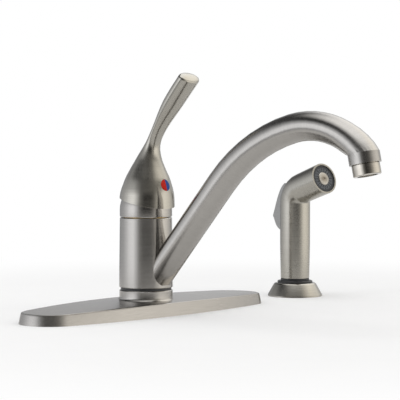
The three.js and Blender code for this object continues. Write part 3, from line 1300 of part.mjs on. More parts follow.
function sprayFlange() {
  const hole = HOLDER_RADIUS + GAP;
  const round = 1.2;
  return revolve([
    [FLANGE_RADIUS - FLANGE_WALL, 0], [FLANGE_RADIUS, 0], [FLANGE_RADIUS, FLANGE_RIM],
    [FLANGE_TOP_RADIUS + round * 0.5, FLANGE_HEIGHT - round],
    [FLANGE_TOP_RADIUS - round * 0.3, FLANGE_HEIGHT - round * 0.25],
    [FLANGE_TOP_RADIUS - round, FLANGE_HEIGHT], [hole, FLANGE_HEIGHT],
    [hole, FLANGE_HEIGHT - FLANGE_WALL], [FLANGE_TOP_RADIUS - 2.2, FLANGE_HEIGHT - FLANGE_WALL],
    [FLANGE_RADIUS - FLANGE_WALL, FLANGE_RIM],
  ]);
}

function sprayGuide() {
  return revolve([
    [HOLDER_BORE, HOLDER_BOTTOM], [HOLDER_RADIUS, HOLDER_BOTTOM], [HOLDER_RADIUS, guideBottom],
    [GUIDE_RADIUS, guideBottom], [GUIDE_RADIUS, guideStepBottom - 0.5],
    [GUIDE_RADIUS - 0.5, guideStepBottom], [GUIDE_STEP_RADIUS, guideStepBottom],
    [GUIDE_STEP_RADIUS, GUIDE_TOP - 0.4], [GUIDE_STEP_RADIUS - 0.4, GUIDE_TOP],
    [HOLDER_BORE, GUIDE_TOP],
  ], MEDIUM);
}

function sprayGasket() {
  return ring(HOLDER_RADIUS + GAP, FLANGE_RADIUS - FLANGE_WALL - GAP, 0,
    SPRAY_GASKET_THICKNESS);
}

function sprayNut() {
  const top = -DECK_GAP;
  const count = SPRAY_NUT_LOBES * 4;
  const outline = Array.from({ length: count }, (_, i) => {
    const turn = (2 * Math.PI * i) / count;
    const radius = SPRAY_NUT_RADIUS - (i % 4 < 2 ? 0 : 1.8);
    return [radius * Math.cos(turn), radius * Math.sin(turn)];
  });
  return prism(outline, top - SPRAY_NUT_HEIGHT, top)
    .subtract(rod(HOLDER_RADIUS + GAP, top - SPRAY_NUT_HEIGHT - OVERCUT, top + OVERCUT));
}

// ---------------------------------------------------------------------------
// Assembly
// ---------------------------------------------------------------------------

const faucet = new THREE.Group();
faucet.add(deckPlate(), baseGasket());
for (const [name, side] of studSides) {
  faucet.add(mountingStud(name, side), studWasher(name, side), wingNut(name, side));
  faucet.add(bodyScrew(name, side));
}
faucet.add(faucetBody(), glideRing(), sprayNipple(), diverterValve());
faucet.add(spoutORing('spout_oring_lower', ORING_LOWER));
faucet.add(spoutORing('spout_oring_upper', ORING_UPPER));
for (const [name, side] of [['hot', -1], ['cold', 1]]) {
  faucet.add(supplyTube(name, side), supplyFitting(name, side));
}
faucet.add(cartridgeSeal(), cartridgeHousing(), fixedDisc(), movingDisc(), turret(), stemPin());
faucet.add(lever(), retainingNut(), bonnetCap());
faucet.add(handle(), setScrew(), indexButton());
faucet.add(spout(), aeratorWasher(), aeratorHousing(), aeratorInsert());

const spray = new THREE.Group();
spray.position.x = SPRAY_X;
spray.rotation.z = radians(SPRAY_TURN);
spray.add(mesh('spray_flange', sprayFlange(), 'brushed'));
spray.add(mesh('spray_guide', sprayGuide(), 'black'));
spray.add(mesh('spray_gasket', sprayGasket(), 'rubber'));
spray.add(mesh('spray_guide_nut', sprayNut(), 'black'));
spray.add(mesh('spray_shell', sprayShell(), 'brushed'));
spray.add(sprayFace(), sprayFaceDisc());
spray.add(mesh('spray_trigger', trigger(), 'brushed'));
spray.add(mesh('trigger_pin', triggerPin(), 'steel'));
spray.add(mesh('spray_core', sprayCore(), 'white'));
spray.add(mesh('spray_valve_stem', valveStem(), 'white'));
spray.add(mesh('spray_valve_spring', valveSpring(), 'steel'));
spray.add(mesh('spray_hose_coupling', hoseCoupling(), 'black'));
faucet.add(spray);

export default faucet;
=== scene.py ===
"""Camera, finishes and studio of the side spray kitchen faucet."""

import math

import bmesh
import bpy
from mathutils import Matrix, Vector


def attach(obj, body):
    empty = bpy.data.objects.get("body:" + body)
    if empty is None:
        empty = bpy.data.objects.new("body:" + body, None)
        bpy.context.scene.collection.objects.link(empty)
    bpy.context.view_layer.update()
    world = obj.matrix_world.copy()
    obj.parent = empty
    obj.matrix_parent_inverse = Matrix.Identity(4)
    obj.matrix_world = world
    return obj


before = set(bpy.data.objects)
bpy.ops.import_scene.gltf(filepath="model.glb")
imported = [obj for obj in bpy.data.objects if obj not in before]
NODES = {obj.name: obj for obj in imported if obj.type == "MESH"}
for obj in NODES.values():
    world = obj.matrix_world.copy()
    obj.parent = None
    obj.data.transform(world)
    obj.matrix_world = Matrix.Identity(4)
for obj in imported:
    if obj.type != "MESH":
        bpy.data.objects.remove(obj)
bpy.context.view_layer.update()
UP = Vector((0, 0, 1))
# One millimetre in metres. The part's places and sizes are in millimetres here.
MM = 0.001

# ---------------------------------------------------------------------------
# Camera
# ---------------------------------------------------------------------------

# Solved from the photograph. The place is in metres, and the focal length in
# pixels of an image IMAGE_SIDE wide.
CAMERA_PLACE = (-1.23661, -1.12067, 0.16962)
CAMERA_FORWARD = Vector((0.75816, 0.65052, -0.04489)).normalized()
FOCAL_PIXELS = 1993.97
IMAGE_SIDE = 400
SENSOR = 36.0
CLIP_NEAR, CLIP_FAR = 0.05, 60.0


def make_camera():
    """The camera that took the photograph."""
    data = bpy.data.cameras.new("photo_camera")
    data.sensor_width = SENSOR
    data.lens = FOCAL_PIXELS / IMAGE_SIDE * SENSOR
    data.clip_start, data.clip_end = CLIP_NEAR, CLIP_FAR
    camera = bpy.data.objects.new("photo_camera", data)
    right = CAMERA_FORWARD.cross(UP).normalized()
    above = right.cross(CAMERA_FORWARD)
    turn = Matrix((right, above, -CAMERA_FORWARD)).transposed().to_4x4()
    camera.matrix_world = Matrix.Translation(CAMERA_PLACE) @ turn
    bpy.context.scene.collection.objects.link(camera)
    bpy.context.scene.camera = camera


make_camera()

# ---------------------------------------------------------------------------
# Shader helpers
# ---------------------------------------------------------------------------

# A Mix node's first and second input and its output, for each kind of value.
MIX_SOCKETS = {"FLOAT": (2, 3, 0), "VECTOR": (4, 5, 1), "RGBA": (6, 7, 2)}
# A noise texture's values mostly lie between these two.
NOISE_LIMITS = (0.3, 0.7)


class Shader:
    """Node tree of a material or world, built from calls that return sockets."""

    def __init__(self, owner):
        owner.use_nodes = True
        self.owner = owner
        self.tree = owner.node_tree
        self.tree.nodes.clear()

    def node(self, kind, inputs=None, **settings):
        """A new node, with each input linked to a socket or set to a value."""
        made = self.tree.nodes.new(kind)
        for key, value in settings.items():
            setattr(made, key, value)
        for key, value in (inputs or {}).items():
            if isinstance(value, bpy.types.NodeSocket):
                self.tree.links.new(value, made.inputs[key])
            else:
                made.inputs[key].default_value = value
        return made

    def math(self, operation, *values):
        inputs = dict(enumerate(values))
        return self.node("ShaderNodeMath", inputs, operation=operation).outputs[0]

    def vector_math(self, operation, first, second, output="Vector"):
        inputs = {0: first, 1: second}
        made = self.node("ShaderNodeVectorMath", inputs, operation=operation)
        return made.outputs[output]

    def vector(self, x=0.0, y=0.0, z=0.0):
        return self.node("ShaderNodeCombineXYZ", {0: x, 1: y, 2: z}).outputs[0]

    def split(self, vector):
        """A vector's three parts."""
        return self.node("ShaderNodeSeparateXYZ", {0: vector}).outputs[:3]

    def point(self):
        """The shaded point, in millimetres in the part's own frame."""
        place = self.node("ShaderNodeTexCoord").outputs["Object"]
        return self.vector_math("MULTIPLY", place, (1 / MM,) * 3)

    def weigh(self, values, weights):
        """The sum of two values, each times its weight."""
        parts = (self.math("MULTIPLY", *pair) for pair in zip(values, weights))
        return self.math("ADD", *parts)

    def length(self, first, second):
        """The length of a flat vector with these two parts."""
        parts = (first, second)
        return self.math("SQRT", self.weigh(parts, parts))

    def angle_about(self, centre, x, y):
        """The angle of the point x, y about an upright axis through centre."""
        from_x = self.math("SUBTRACT", x, centre[0])
        from_y = self.math("SUBTRACT", y, centre[1])
        return self.math("ARCTAN2", from_y, from_x)

    def noise(self, vector, scale, detail, roughness):
        inputs = {
            "Vector": vector,
            "Scale": scale,
            "Detail": detail,
            "Roughness": roughness,
        }
        return self.node("ShaderNodeTexNoise", inputs).outputs[0]

    def remap(self, value, low, high, new_low=0.0, new_high=1.0, smooth=False):
        """The value, moved from between low and high to between two new limits."""
        kind = "SMOOTHSTEP" if smooth else "LINEAR"
        inputs = {0: value, 1: low, 2: high, 3: new_low, 4: new_high}
        made = self.node("ShaderNodeMapRange", inputs, interpolation_type=kind)
        return made.outputs[0]

    def spread(self, noise, new_low, new_high):
        """A noise texture's values, moved to between two new limits."""
        return self.remap(noise, *NOISE_LIMITS, new_low, new_high)

    def mix(self, factor, first, second, kind="RGBA"):
        low, high, result = MIX_SOCKETS[kind]
        inputs = {0: factor, low: first, high: second}
        return self.node("ShaderNodeMix", inputs, data_type=kind).outputs[result]

    def bump(self, height, depth, strength, normal=None):
        """The normal of a relief, which rises depth millimetres per unit of height."""
        inputs = {"Height": height, "Distance": depth * MM, "Strength": strength}
        if normal is not None:
            inputs["Normal"] = normal
        return self.node("ShaderNodeBump", inputs).outputs[0]

    def finish(self, **inputs):
        """Close the material with a Principled shader, and return it."""
        named = {key.replace("_", " "): value for key, value in inputs.items()}
        surface = self.node("ShaderNodeBsdfPrincipled", named)
        self.node("ShaderNodeOutputMaterial", {0: surface.outputs[0]})
        return self.owner


def new_shader(name):
    return Shader(bpy.data.materials.new(name))


def rgb(red, green, blue):
    return (red, green, blue, 1.0)


def grey(level):
    return rgb(level, level, level)


# ---------------------------------------------------------------------------
# Where brushing lines run
# ---------------------------------------------------------------------------

# How many lines there are across their direction, and how slowly they change
# along it: by the millimetre, or by the radian on a turned surface.
LINES_PER_MM = 1.1
CHANGES_PER_MM = 0.03
CHANGES_PER_RADIAN = 0.7

# Distance from the faucet's axis beyond which the spout is tube and not hub.
TUBE_START = 22.85

# The side spray: its axis, how far it is turned in its holder, where its
# head's axis leaves the tube's, how steeply that rises, and how far it reaches.
SPRAY_X = 203.2
SPRAY_TURN = math.radians(-10)
HEAD_HEIGHT = 95.6
HEAD_RISE = math.radians(18.4)
HEAD_REACH = 40.9

# Centrelines of the bent tubes. Each lies in an upright plane, which goes
# through "foot" and is turned by "turn" from the part's front. Each of its arcs
# has a centre (forward distance and height), a radius and a start. A point is
# past the start where its own forward distance and height, each times its
# number in "weights", add up to more. The first arc has no start, and a very
# large radius stands for a straight stretch.
SPOUT_PATH = {
    "foot": (0.0, 0.0),
    "turn": 0.0,
    "weights": (1.0, 0.0),
    "arcs": [
        ((3785.3, -3252.7), 5000.0, None),
        ((189.9, 17.8), 141.8, 83.0),
        ((173.7, 84.5), 73.3, 156.4),
        ((193.3, 126.4), 27.0, 204.7),
    ],
}
HANDLE_PATH = {
    "foot": (0.0, 0.0),
    "turn": 0.0,
    "weights": (0.0, 1.0),
    "arcs": [
        ((5000.0, 115.0), 5000.0, None),
        ((76.0, 115.0), 76.0, 115.0),
        ((3792.0, -3115.0), 5000.0, 165.0),
    ],
}
SPRAY_PATH = {
    "foot": (SPRAY_X, 0.0),
    "turn": SPRAY_TURN,
    "weights": (1.0, 1.0),
    "arcs": [
        ((5000.0, 85.1), 5000.0, None),
        ((14.6, 85.1), 14.6, 85.1),
        ((1592.0, -4644.0), 5000.0, 104.0),
    ],
}
# An arc takes over from the one before it within this distance of its start.
ARC_BLEND = 2.0


def along_path(shader, path):
    """The point's place along a bent tube and beside it, and the tube's heading."""
    x, y, z = shader.split(shader.point())
    foot_x, foot_y = path["foot"]
    ahead_x, ahead_y = math.sin(path["turn"]), -math.cos(path["turn"])
    from_foot = [shader.math("SUBTRACT", x, foot_x), shader.math("SUBTRACT", y, foot_y)]
    forward = shader.weigh(from_foot, (ahead_x, ahead_y))
    beside = shader.weigh(from_foot, (-ahead_y, ahead_x))
    progress = shader.weigh((forward, z), path["weights"])
    for (centre_forward, centre_height), radius, start in path["arcs"]:
        out_forward = shader.math("SUBTRACT", forward, centre_forward)
        out_height = shader.math("SUBTRACT", z, centre_height)
        length = shader.length(out_forward, out_height)
        turned = shader.math("ARCTAN2", out_forward, out_height)
        here = (
            shader.math("MULTIPLY", turned, radius),
            shader.math("DIVIDE", out_height, length),
            shader.math("DIVIDE", shader.math("MULTIPLY", out_forward, -1.0), length),
        )
        if start is None:
            course = here
            continue
        past = shader.remap(progress, start - ARC_BLEND, start + ARC_BLEND, smooth=True)
        course = [shader.mix(past, *pair, "FLOAT") for pair in zip(course, here)]
    distance, ahead, upward = course
    heading = shader.vector(
        shader.math("MULTIPLY", ahead, ahead_x),
        shader.math("MULTIPLY", ahead, ahead_y),
        upward,
    )
    return distance, beside, heading


# Each of these functions returns where to read a noise texture, so that it
# makes lines, and the direction across the lines.


def turned_lines(shader, centre=(0.0, 0.0)):
    """Lines round an upright axis, as turning leaves them."""
    x, y, z = shader.split(shader.point())
    angle = shader.angle_about(centre, x, y)
    place = shader.vector(
        shader.math("MULTIPLY", angle, CHANGES_PER_RADIAN),
        shader.math("MULTIPLY", z, LINES_PER_MM),
    )
    return place, shader.vector(*UP)


def lengthwise_lines(shader):
    """Lines along X, as on the plate."""
    steps = (CHANGES_PER_MM, LINES_PER_MM, LINES_PER_MM)
    place = shader.vector_math("MULTIPLY", shader.point(), steps)
    return place, shader.vector(*Vector((0, 1, 1)).normalized())


def tube_lines(shader, path):
    """Lines round a bent tube."""
    distance, beside, heading = along_path(shader, path)
    place = shader.vector(
        shader.math("MULTIPLY", distance, LINES_PER_MM),
        shader.math("MULTIPLY", beside, CHANGES_PER_MM),
    )
    return place, heading


def hub_and_tube_lines(shader):
    """Turned lines on the spout's hub, and lines round its tube."""
    x, y, _ = shader.split(shader.point())
    on_tube = shader.math("GREATER_THAN", shader.length(x, y), TUBE_START)
    pairs = zip(turned_lines(shader), tube_lines(shader, SPOUT_PATH))
    return [shader.mix(on_tube, *pair, "VECTOR") for pair in pairs]


# ---------------------------------------------------------------------------
# Materials
# ---------------------------------------------------------------------------

# The two tones that each material varies between. The lever and the side spray
# are of a slightly warmer batch of nickel, and the trigger is a duller one.
NICKEL = (rgb(0.391, 0.374, 0.349), rgb(0.437, 0.418, 0.392))
NICKEL_WARM = (rgb(0.391, 0.372, 0.330), rgb(0.436, 0.416, 0.370))
NICKEL_GREY = (rgb(0.300, 0.296, 0.286), rgb(0.336, 0.332, 0.322))
BRIGHT_NICKEL = (rgb(0.56, 0.525, 0.465), rgb(0.47, 0.435, 0.38))
STEEL = (rgb(0.46, 0.46, 0.45), rgb(0.32, 0.32, 0.32))
BRASS = (rgb(0.60, 0.42, 0.16), rgb(0.44, 0.29, 0.11))
COPPER = (rgb(0.70, 0.33, 0.20), rgb(0.46, 0.19, 0.11))
RUBBER = (rgb(0.02, 0.02, 0.02), rgb(0.035, 0.034, 0.033))
BLACK = (rgb(0.018, 0.018, 0.019), rgb(0.03, 0.03, 0.031))
WHITE = (rgb(0.74, 0.73, 0.70), rgb(0.64, 0.63, 0.60))
CERAMIC = (rgb(0.84, 0.81, 0.74), rgb(0.78, 0.74, 0.66))
NUB_GREY = (rgb(0.15, 0.155, 0.165), rgb(0.21, 0.215, 0.22))
FACE_GREY = (rgb(0.055, 0.06, 0.068), rgb(0.10, 0.106, 0.115))
ENAMEL_RED = (rgb(0.42, 0.010, 0.006), rgb(0.56, 0.028, 0.012))
ENAMEL_BLUE = (rgb(0.010, 0.050, 0.22), rgb(0.022, 0.085, 0.31))

# Nickel that is rubbed along its edges: its tone, how wide the edges are, and
# how far the finish goes over to that tone at most. Wear shows where the cosine
# of the angle between the face and the rounded edge is below WORN_FROM, and is
# strongest from WORN_FULL down. Where the grain is low, WORN_LEAST of it shows.
WORN_TONE = rgb(0.55, 0.54, 0.52)
WORN_WIDTH = 0.4
WORN_SHARE = 0.6
WORN_FROM, WORN_FULL = 0.98, 0.88
WORN_LEAST = 0.3

# How far a material's roughness swings with its fine pattern, and the limits
# that it drifts between with its broad one.
LINE_SWING, CLOUD_DRIFT = 0.02, (-0.02, 0.025)
MARK_SWING, STAIN_DRIFT = 0.06, (-0.03, 0.05)
GRAIN_SWING, FLOW_DRIFT = 0.05, (-0.03, 0.03)

# Noise values between which a pattern has its effect, where these aren't
# NOISE_LIMITS.
LINE_LIMITS = (0.25, 0.75)
STAIN_LIMITS = (0.35, 0.7)
FLOW_LIMITS = (0.35, 0.65)
WORN_LIMITS = (0.35, 0.65)

# A tool mark's width along Z as a share of its length, a thread's depth as a
# share of its pitch, and the height that thread_height gives its crest.
MARK_WIDTH = 0.15
THREAD_DEPTH = 0.3
THREAD_CREST = 0.5

# How far the index button's seam wanders, and half its width.
SEAM_WAVE = 0.1
SEAM_SOFTNESS = 0.12


def worn_edges(shader, grain):
    """How worn the finish is: along edges only, and unevenly."""
    edge = shader.node("ShaderNodeBevel", {"Radius": WORN_WIDTH * MM}, samples=4)
    face = shader.node("ShaderNodeNewGeometry").outputs["Normal"]
    facing = shader.vector_math("DOT_PRODUCT", edge.outputs[0], face, "Value")
    worn = shader.remap(facing, WORN_FROM, WORN_FULL, 0.0, WORN_SHARE)
    uneven = shader.remap(grain, *WORN_LIMITS, WORN_LEAST, 1.0)
    return shader.math("MULTIPLY", worn, uneven)


def brushed(name, lay_lines, *guide, rough=0.24, aniso=0.7, tones=NICKEL):
    """Satin nickel with fine lines, as lay_lines(shader, *guide) lays them."""
    shader = new_shader(name)
    lines_at, across = lay_lines(shader, *guide)
    world_across = shader.node(
        "ShaderNodeVectorTransform",
        {0: across},
        vector_type="VECTOR",
        convert_from="OBJECT",
        convert_to="WORLD",
    ).outputs[0]
    where = shader.point()
    lines = shader.noise(lines_at, scale=1.0, detail=4.0, roughness=0.6)
    cloud = shader.noise(where, scale=0.025, detail=3.0, roughness=0.55)
    grain = shader.noise(where, scale=4.0, detail=2.0, roughness=0.6)
    tone = shader.mix(shader.spread(lines, 0.0, 1.0), *tones)
    roughness = shader.math(
        "ADD",
        shader.remap(lines, *LINE_LIMITS, rough - LINE_SWING, rough + LINE_SWING),
        shader.spread(cloud, *CLOUD_DRIFT),
    )
    relief = shader.bump(lines, depth=0.008, strength=0.5)
    return shader.finish(
        Base_Color=shader.mix(worn_edges(shader, grain), tone, WORN_TONE),
        Metallic=1.0,
        Roughness=roughness,
        Anisotropic=aniso,
        Tangent=world_across,
        Normal=shader.bump(grain, depth=0.003, strength=0.4, normal=relief),
    )


def thread_height(shader, centre, pitch):
    """Height of a screw thread about an upright axis: 0 at its root."""
    x, y, z = shader.split(shader.point())
    angle = shader.angle_about(centre, x, y)
    turns = shader.math(
        "SUBTRACT",
        shader.math("DIVIDE", z, pitch),
        shader.math("DIVIDE", angle, 2 * math.pi),
    )
    return shader.math("PINGPONG", turns, THREAD_CREST)


def machined(name, tones, rough, centre=None, pitch=None):
    """Plain metal with tool marks, and with a screw thread if it has a pitch."""
    shader = new_shader(name)
    where = shader.point()
    stretched = shader.vector_math("MULTIPLY", where, (MARK_WIDTH, MARK_WIDTH, 1.0))
    marks = shader.noise(stretched, scale=1.5, detail=4.0, roughness=0.65)
    stain = shader.noise(where, scale=0.12, detail=3.0, roughness=0.6)
    roughness = shader.math(
        "ADD",
        shader.spread(marks, rough - MARK_SWING, rough + MARK_SWING),
        shader.spread(stain, *STAIN_DRIFT),
    )
    relief = shader.bump(marks, depth=0.03, strength=0.6)
    if pitch:
        height = thread_height(shader, centre, pitch)
        depth = THREAD_DEPTH * pitch / THREAD_CREST
        relief = shader.bump(height, depth, strength=1.0, normal=relief)
    return shader.finish(
        Base_Color=shader.mix(shader.remap(stain, *STAIN_LIMITS), *tones),
        Metallic=1.0,
        Roughness=roughness,
        Normal=relief,
    )


def plastic(name, tones, rough, grain_scale=1.4):
    """Moulded plastic or rubber with a fine grain and faint flow marks."""
    shader = new_shader(name)
    where = shader.point()
    grain = shader.noise(where, scale=grain_scale, detail=3.0, roughness=0.6)
    flow = shader.noise(where, scale=0.09, detail=3.0, roughness=0.5)
    roughness = shader.math(
        "ADD",
        shader.spread(grain, rough - GRAIN_SWING, rough + GRAIN_SWING),
        shader.spread(flow, *FLOW_DRIFT),
    )
    return shader.finish(
        Base_Color=shader.mix(shader.remap(flow, *FLOW_LIMITS), *tones),
        Roughness=roughness,
        Normal=shader.bump(grain, depth=0.03, strength=0.6),
    )


def two_tone_button():
    """Index button: red on the hot side, blue on the cold side, in matt enamel."""
    shader = new_shader("index_button")
    where = shader.point()
    wave = shader.noise(where, scale=1.2, detail=2.0, roughness=0.5)
    mottle = shader.noise(where, scale=2.0, detail=3.0, roughness=0.6)
    x = shader.split(where)[0]
    from_seam = shader.math("ADD", x, shader.spread(wave, -SEAM_WAVE, SEAM_WAVE))
    cold = shader.remap(from_seam, -SEAM_SOFTNESS, SEAM_SOFTNESS, smooth=True)
    red = shader.mix(mottle, *ENAMEL_RED)
    blue = shader.mix(mottle, *ENAMEL_BLUE)
    return shader.finish(
        Base_Color=shader.mix(cold, red, blue),
        Roughness=shader.spread(mottle, 0.38, 0.5),
        Normal=shader.bump(mottle, depth=0.03, strength=0.5),
        Specular_IOR_Level=0.1,
    )


# ---------------------------------------------------------------------------
# The spray's face
# ---------------------------------------------------------------------------

# The face's centre, and the directions out of it, across it and up it.
HEAD_LEVEL = Vector((math.sin(SPRAY_TURN), -math.cos(SPRAY_TURN), 0))
HEAD_OUT = math.cos(HEAD_RISE) * HEAD_LEVEL + math.sin(HEAD_RISE) * UP
HEAD_CENTRE = Vector((SPRAY_X, 0, HEAD_HEIGHT)) + HEAD_REACH * HEAD_OUT
HEAD_ACROSS = UP.cross(HEAD_LEVEL)
HEAD_UP = HEAD_OUT.cross(HEAD_ACROSS)

# The bright disc has round grooves. Its middle is darker, painted shade as of a shallow
# dish, and each groove's bottom is darker, painted shade. A groove is GROOVE_WIDTH from
# its bottom to the next crest, and its sides lie between two distances from its bottom.
DISC_MIDDLE, DISC_RADIUS = 0.4, 5.4
DISC_SHADE_TONES = (rgb(0.30, 0.26, 0.21), rgb(0.50, 0.475, 0.43))
GROOVE_SHADE_TONE = rgb(0.2, 0.17, 0.14)
GROOVE_SHADE_SHARE = 0.25
GROOVE_WIDTH = 0.55
GROOVE_SIDES = (0.05, 0.4)

# The dark face round the disc has a ring of slots between two radii, and a rim. Near
# black painted shade fills the slots and a ring round the disc, and darkens the rim.
# SLOT_SIDES are heights of a wave that is 0 along each slot's middle and 1
# halfway between two slots.
SLOT_COUNT = 20
SLOT_INNER, SLOT_OUTER = 6.1, 8.4
SLOT_SOFTNESS = 0.25
SLOT_SIDES = (0.25, 0.6)
FACE_RADIUS = 10.4
RIM_WIDTH = 0.9
RIM_SHADE_SHARE = 0.8
# Near black painted shade for the slots, the ring round the disc and the rim.
RECESS_SHADE_TONE = rgb(0.010, 0.011, 0.013)

# Each ring of nubs has a radius, a count and the radius of its nubs. They stand
# on the face, which is set back from the head's end, and are a little flat.
NUB_RINGS = ((7.3, SLOT_COUNT, 0.42), (9.1, 28, 0.36))
NUB_FLATNESS = 0.9
FACE_SETBACK = 0.9


def on_the_face(shader):
    """The point's distance from the head's axis, and its angle about that."""
    offset = shader.vector_math("SUBTRACT", shader.point(), HEAD_CENTRE)
    across, up = (
        shader.vector_math("DOT_PRODUCT", offset, side, "Value")
        for side in (HEAD_ACROSS, HEAD_UP)
    )
    return shader.length(across, up), shader.math("ARCTAN2", up, across)


def turned_disc():
    """Bright disc in the spray's face with turned grooves, its middle and groove
    bottoms darkened as painted shade.
    """
    shader = new_shader("turned_disc")
    radius, _ = on_the_face(shader)
    wave = shader.math("PINGPONG", radius, GROOVE_WIDTH)
    crest = shader.remap(wave, *GROOVE_SIDES, smooth=True)
    grain = shader.noise(shader.vector(radius), scale=6.0, detail=3.0, roughness=0.6)
    # Painted shade: the disc darkens towards its middle, as a shallow dish is shaded.
    from_shaded_middle = shader.remap(radius, DISC_MIDDLE, DISC_RADIUS, smooth=True)
    colour = shader.mix(from_shaded_middle, *DISC_SHADE_TONES)
    # Painted shade at the bottom of each groove.
    groove = shader.remap(crest, 0.0, 1.0, GROOVE_SHADE_SHARE, 0.0)
    return shader.finish(
        Base_Color=shader.mix(groove, colour, GROOVE_SHADE_TONE),
        Metallic=1.0,
        Roughness=shader.spread(grain, 0.24, 0.38),
        Normal=shader.bump(crest, depth=0.1, strength=0.6),
    )


def slotted_face():
    """Dark face of the spray: a ring of short radial slots, with near black painted
    shade in the slots, round the disc and at the rim.
    """
    shader = new_shader("spray_face_plastic")
    radius, angle = on_the_face(shader)
    wave = shader.math("SINE", shader.math("MULTIPLY", angle, SLOT_COUNT / 2))
    off_middle = shader.math("ABSOLUTE", wave)
    slot = shader.remap(off_middle, *SLOT_SIDES, 1.0, 0.0, smooth=True)
    for edge, softness in ((SLOT_INNER, SLOT_SOFTNESS), (SLOT_OUTER, -SLOT_SOFTNESS)):
        within = shader.remap(radius, edge - softness, edge + softness, smooth=True)
        slot = shader.math("MULTIPLY", slot, within)
    hub = shader.remap(radius, DISC_RADIUS, SLOT_INNER, 1.0, 0.0, smooth=True)
    rim_start = FACE_RADIUS - RIM_WIDTH
    rim = shader.remap(radius, rim_start, FACE_RADIUS, 0.0, RIM_SHADE_SHARE, smooth=True)
    # Painted shade: near black in the slots, round the disc and towards the rim.
    recess_shade = shader.math("MAXIMUM", slot, shader.math("MAXIMUM", hub, rim))
    grain = shader.noise(shader.point(), scale=2.5, detail=3.0, roughness=0.6)
    tone = shader.mix(grain, *FACE_GREY)
    raised = shader.math("SUBTRACT", 1.0, slot)
    return shader.finish(
        Base_Color=shader.mix(recess_shade, tone, RECESS_SHADE_TONE),
        Roughness=shader.spread(grain, 0.45, 0.55),
        Normal=shader.bump(raised, depth=0.35, strength=0.8),
    )


def nozzle_nubs(material):
    """Soft nubs in rings on the spray's face."""
    made = bmesh.new()
    face = HEAD_CENTRE - FACE_SETBACK * HEAD_OUT
    face_turn = Matrix((HEAD_ACROSS, HEAD_UP, HEAD_OUT)).transposed().to_4x4()
    flatten = Matrix.Diagonal((1, 1, NUB_FLATNESS, 1))
    for ring, count, size in NUB_RINGS:
        for i in range(count):
            turn = 2 * math.pi * (i + 0.5) / count
            across, up = ring * math.cos(turn), ring * math.sin(turn)
            spot = face + across * HEAD_ACROSS + up * HEAD_UP
            bmesh.ops.create_icosphere(
                made,
                subdivisions=2,
                radius=size * MM,
                matrix=Matrix.Translation(spot * MM) @ face_turn @ flatten,
            )
    mesh = bpy.data.meshes.new("spray_nubs")
    made.to_mesh(mesh)
    made.free()
    mesh.polygons.foreach_set("use_smooth", [True] * len(mesh.polygons))
    mesh.materials.append(material)
    nubs = bpy.data.objects.new("spray_nubs", mesh)
    bpy.context.scene.collection.objects.link(nubs)
    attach(nubs, "sprayer")


nozzle_nubs(plastic("nub_rubber", NUB_GREY, 0.55, grain_scale=3.0))

# ---------------------------------------------------------------------------
# Finish of every CAD node
# ---------------------------------------------------------------------------

# The triangles' corners join within this distance, and edges that bend by more
# than this angle stay sharp.
JOIN_DISTANCE = 0.002
SHARP_ANGLE = math.radians(32)

# Name, tones, axis and pitch of each threaded piece.
THREADED = (
    ("mounting_stud_left", STEEL, (-101.6, 0.0), 1.25),
    ("mounting_stud_right", STEEL, (101.6, 0.0), 1.25),
    ("body_screw_left", STEEL, (-22.6, 0.0), 0.8),
    ("body_screw_right", STEEL, (22.6, 0.0), 0.8),
    ("handle_set_screw", STEEL, (0.0, 0.0), 0.8),
    ("spray_outlet_nipple", BRASS, (0.0, 9.0), 1.4),
    ("hot_inlet_fitting", BRASS, (-17.0, 0.0), 1.8),
    ("cold_inlet_fitting", BRASS, (17.0, 0.0), 1.8),
)
THREAD_ROUGHNESS = 0.28


def smooth_by_angle():
    """Geometry nodes that join the triangles and smooth all but sharp edges."""
    group = bpy.data.node_groups.new("smooth_by_angle", "GeometryNodeTree")
    for way in ("INPUT", "OUTPUT"):
        group.interface.new_socket(
            "Geometry", in_out=way, socket_type="NodeSocketGeometry"
        )
    nodes, link = group.nodes, group.links.new
    start = nodes.new("NodeGroupInput")
    end = nodes.new("NodeGroupOutput")
    bare = nodes.new("GeometryNodeRemoveAttribute")
    bare.inputs["Name"].default_value = "custom_normal"
    joined = nodes.new("GeometryNodeMergeByDistance")
    joined.inputs["Distance"].default_value = JOIN_DISTANCE * MM
    angle = nodes.new("GeometryNodeInputMeshEdgeAngle")
    gentle = nodes.new("FunctionNodeCompare")
    gentle.operation = "LESS_THAN"
    gentle.inputs[1].default_value = SHARP_ANGLE
    faces = nodes.new("GeometryNodeSetShadeSmooth")
    edges = nodes.new("GeometryNodeSetShadeSmooth")
    edges.domain = "EDGE"
    link(start.outputs[0], bare.inputs[0])
    link(bare.outputs[0], joined.inputs[0])
    link(joined.outputs[0], faces.inputs[0])
    link(faces.outputs[0], edges.inputs[0])
    link(angle.outputs[0], gentle.inputs[0])
    link(gentle.outputs[0], edges.inputs["Shade Smooth"])
    link(edges.outputs[0], end.inputs[0])
    return group


SMOOTHING = smooth_by_angle()


def dress(material, *names):
    """Give CAD nodes a material and smooth shading."""
    for name in names:
        node = NODES[name]
        node.data.materials.clear()
        node.data.materials.append(material)
        node.modifiers.new("smooth", "NODES").node_group = SMOOTHING
        # Wide faces keep their own direction up to the small rounded edges.
        weighted = node.modifiers.new("weighted", "WEIGHTED_NORMAL")
        weighted.mode = "FACE_AREA_WITH_ANGLE"
        weighted.keep_sharp = True


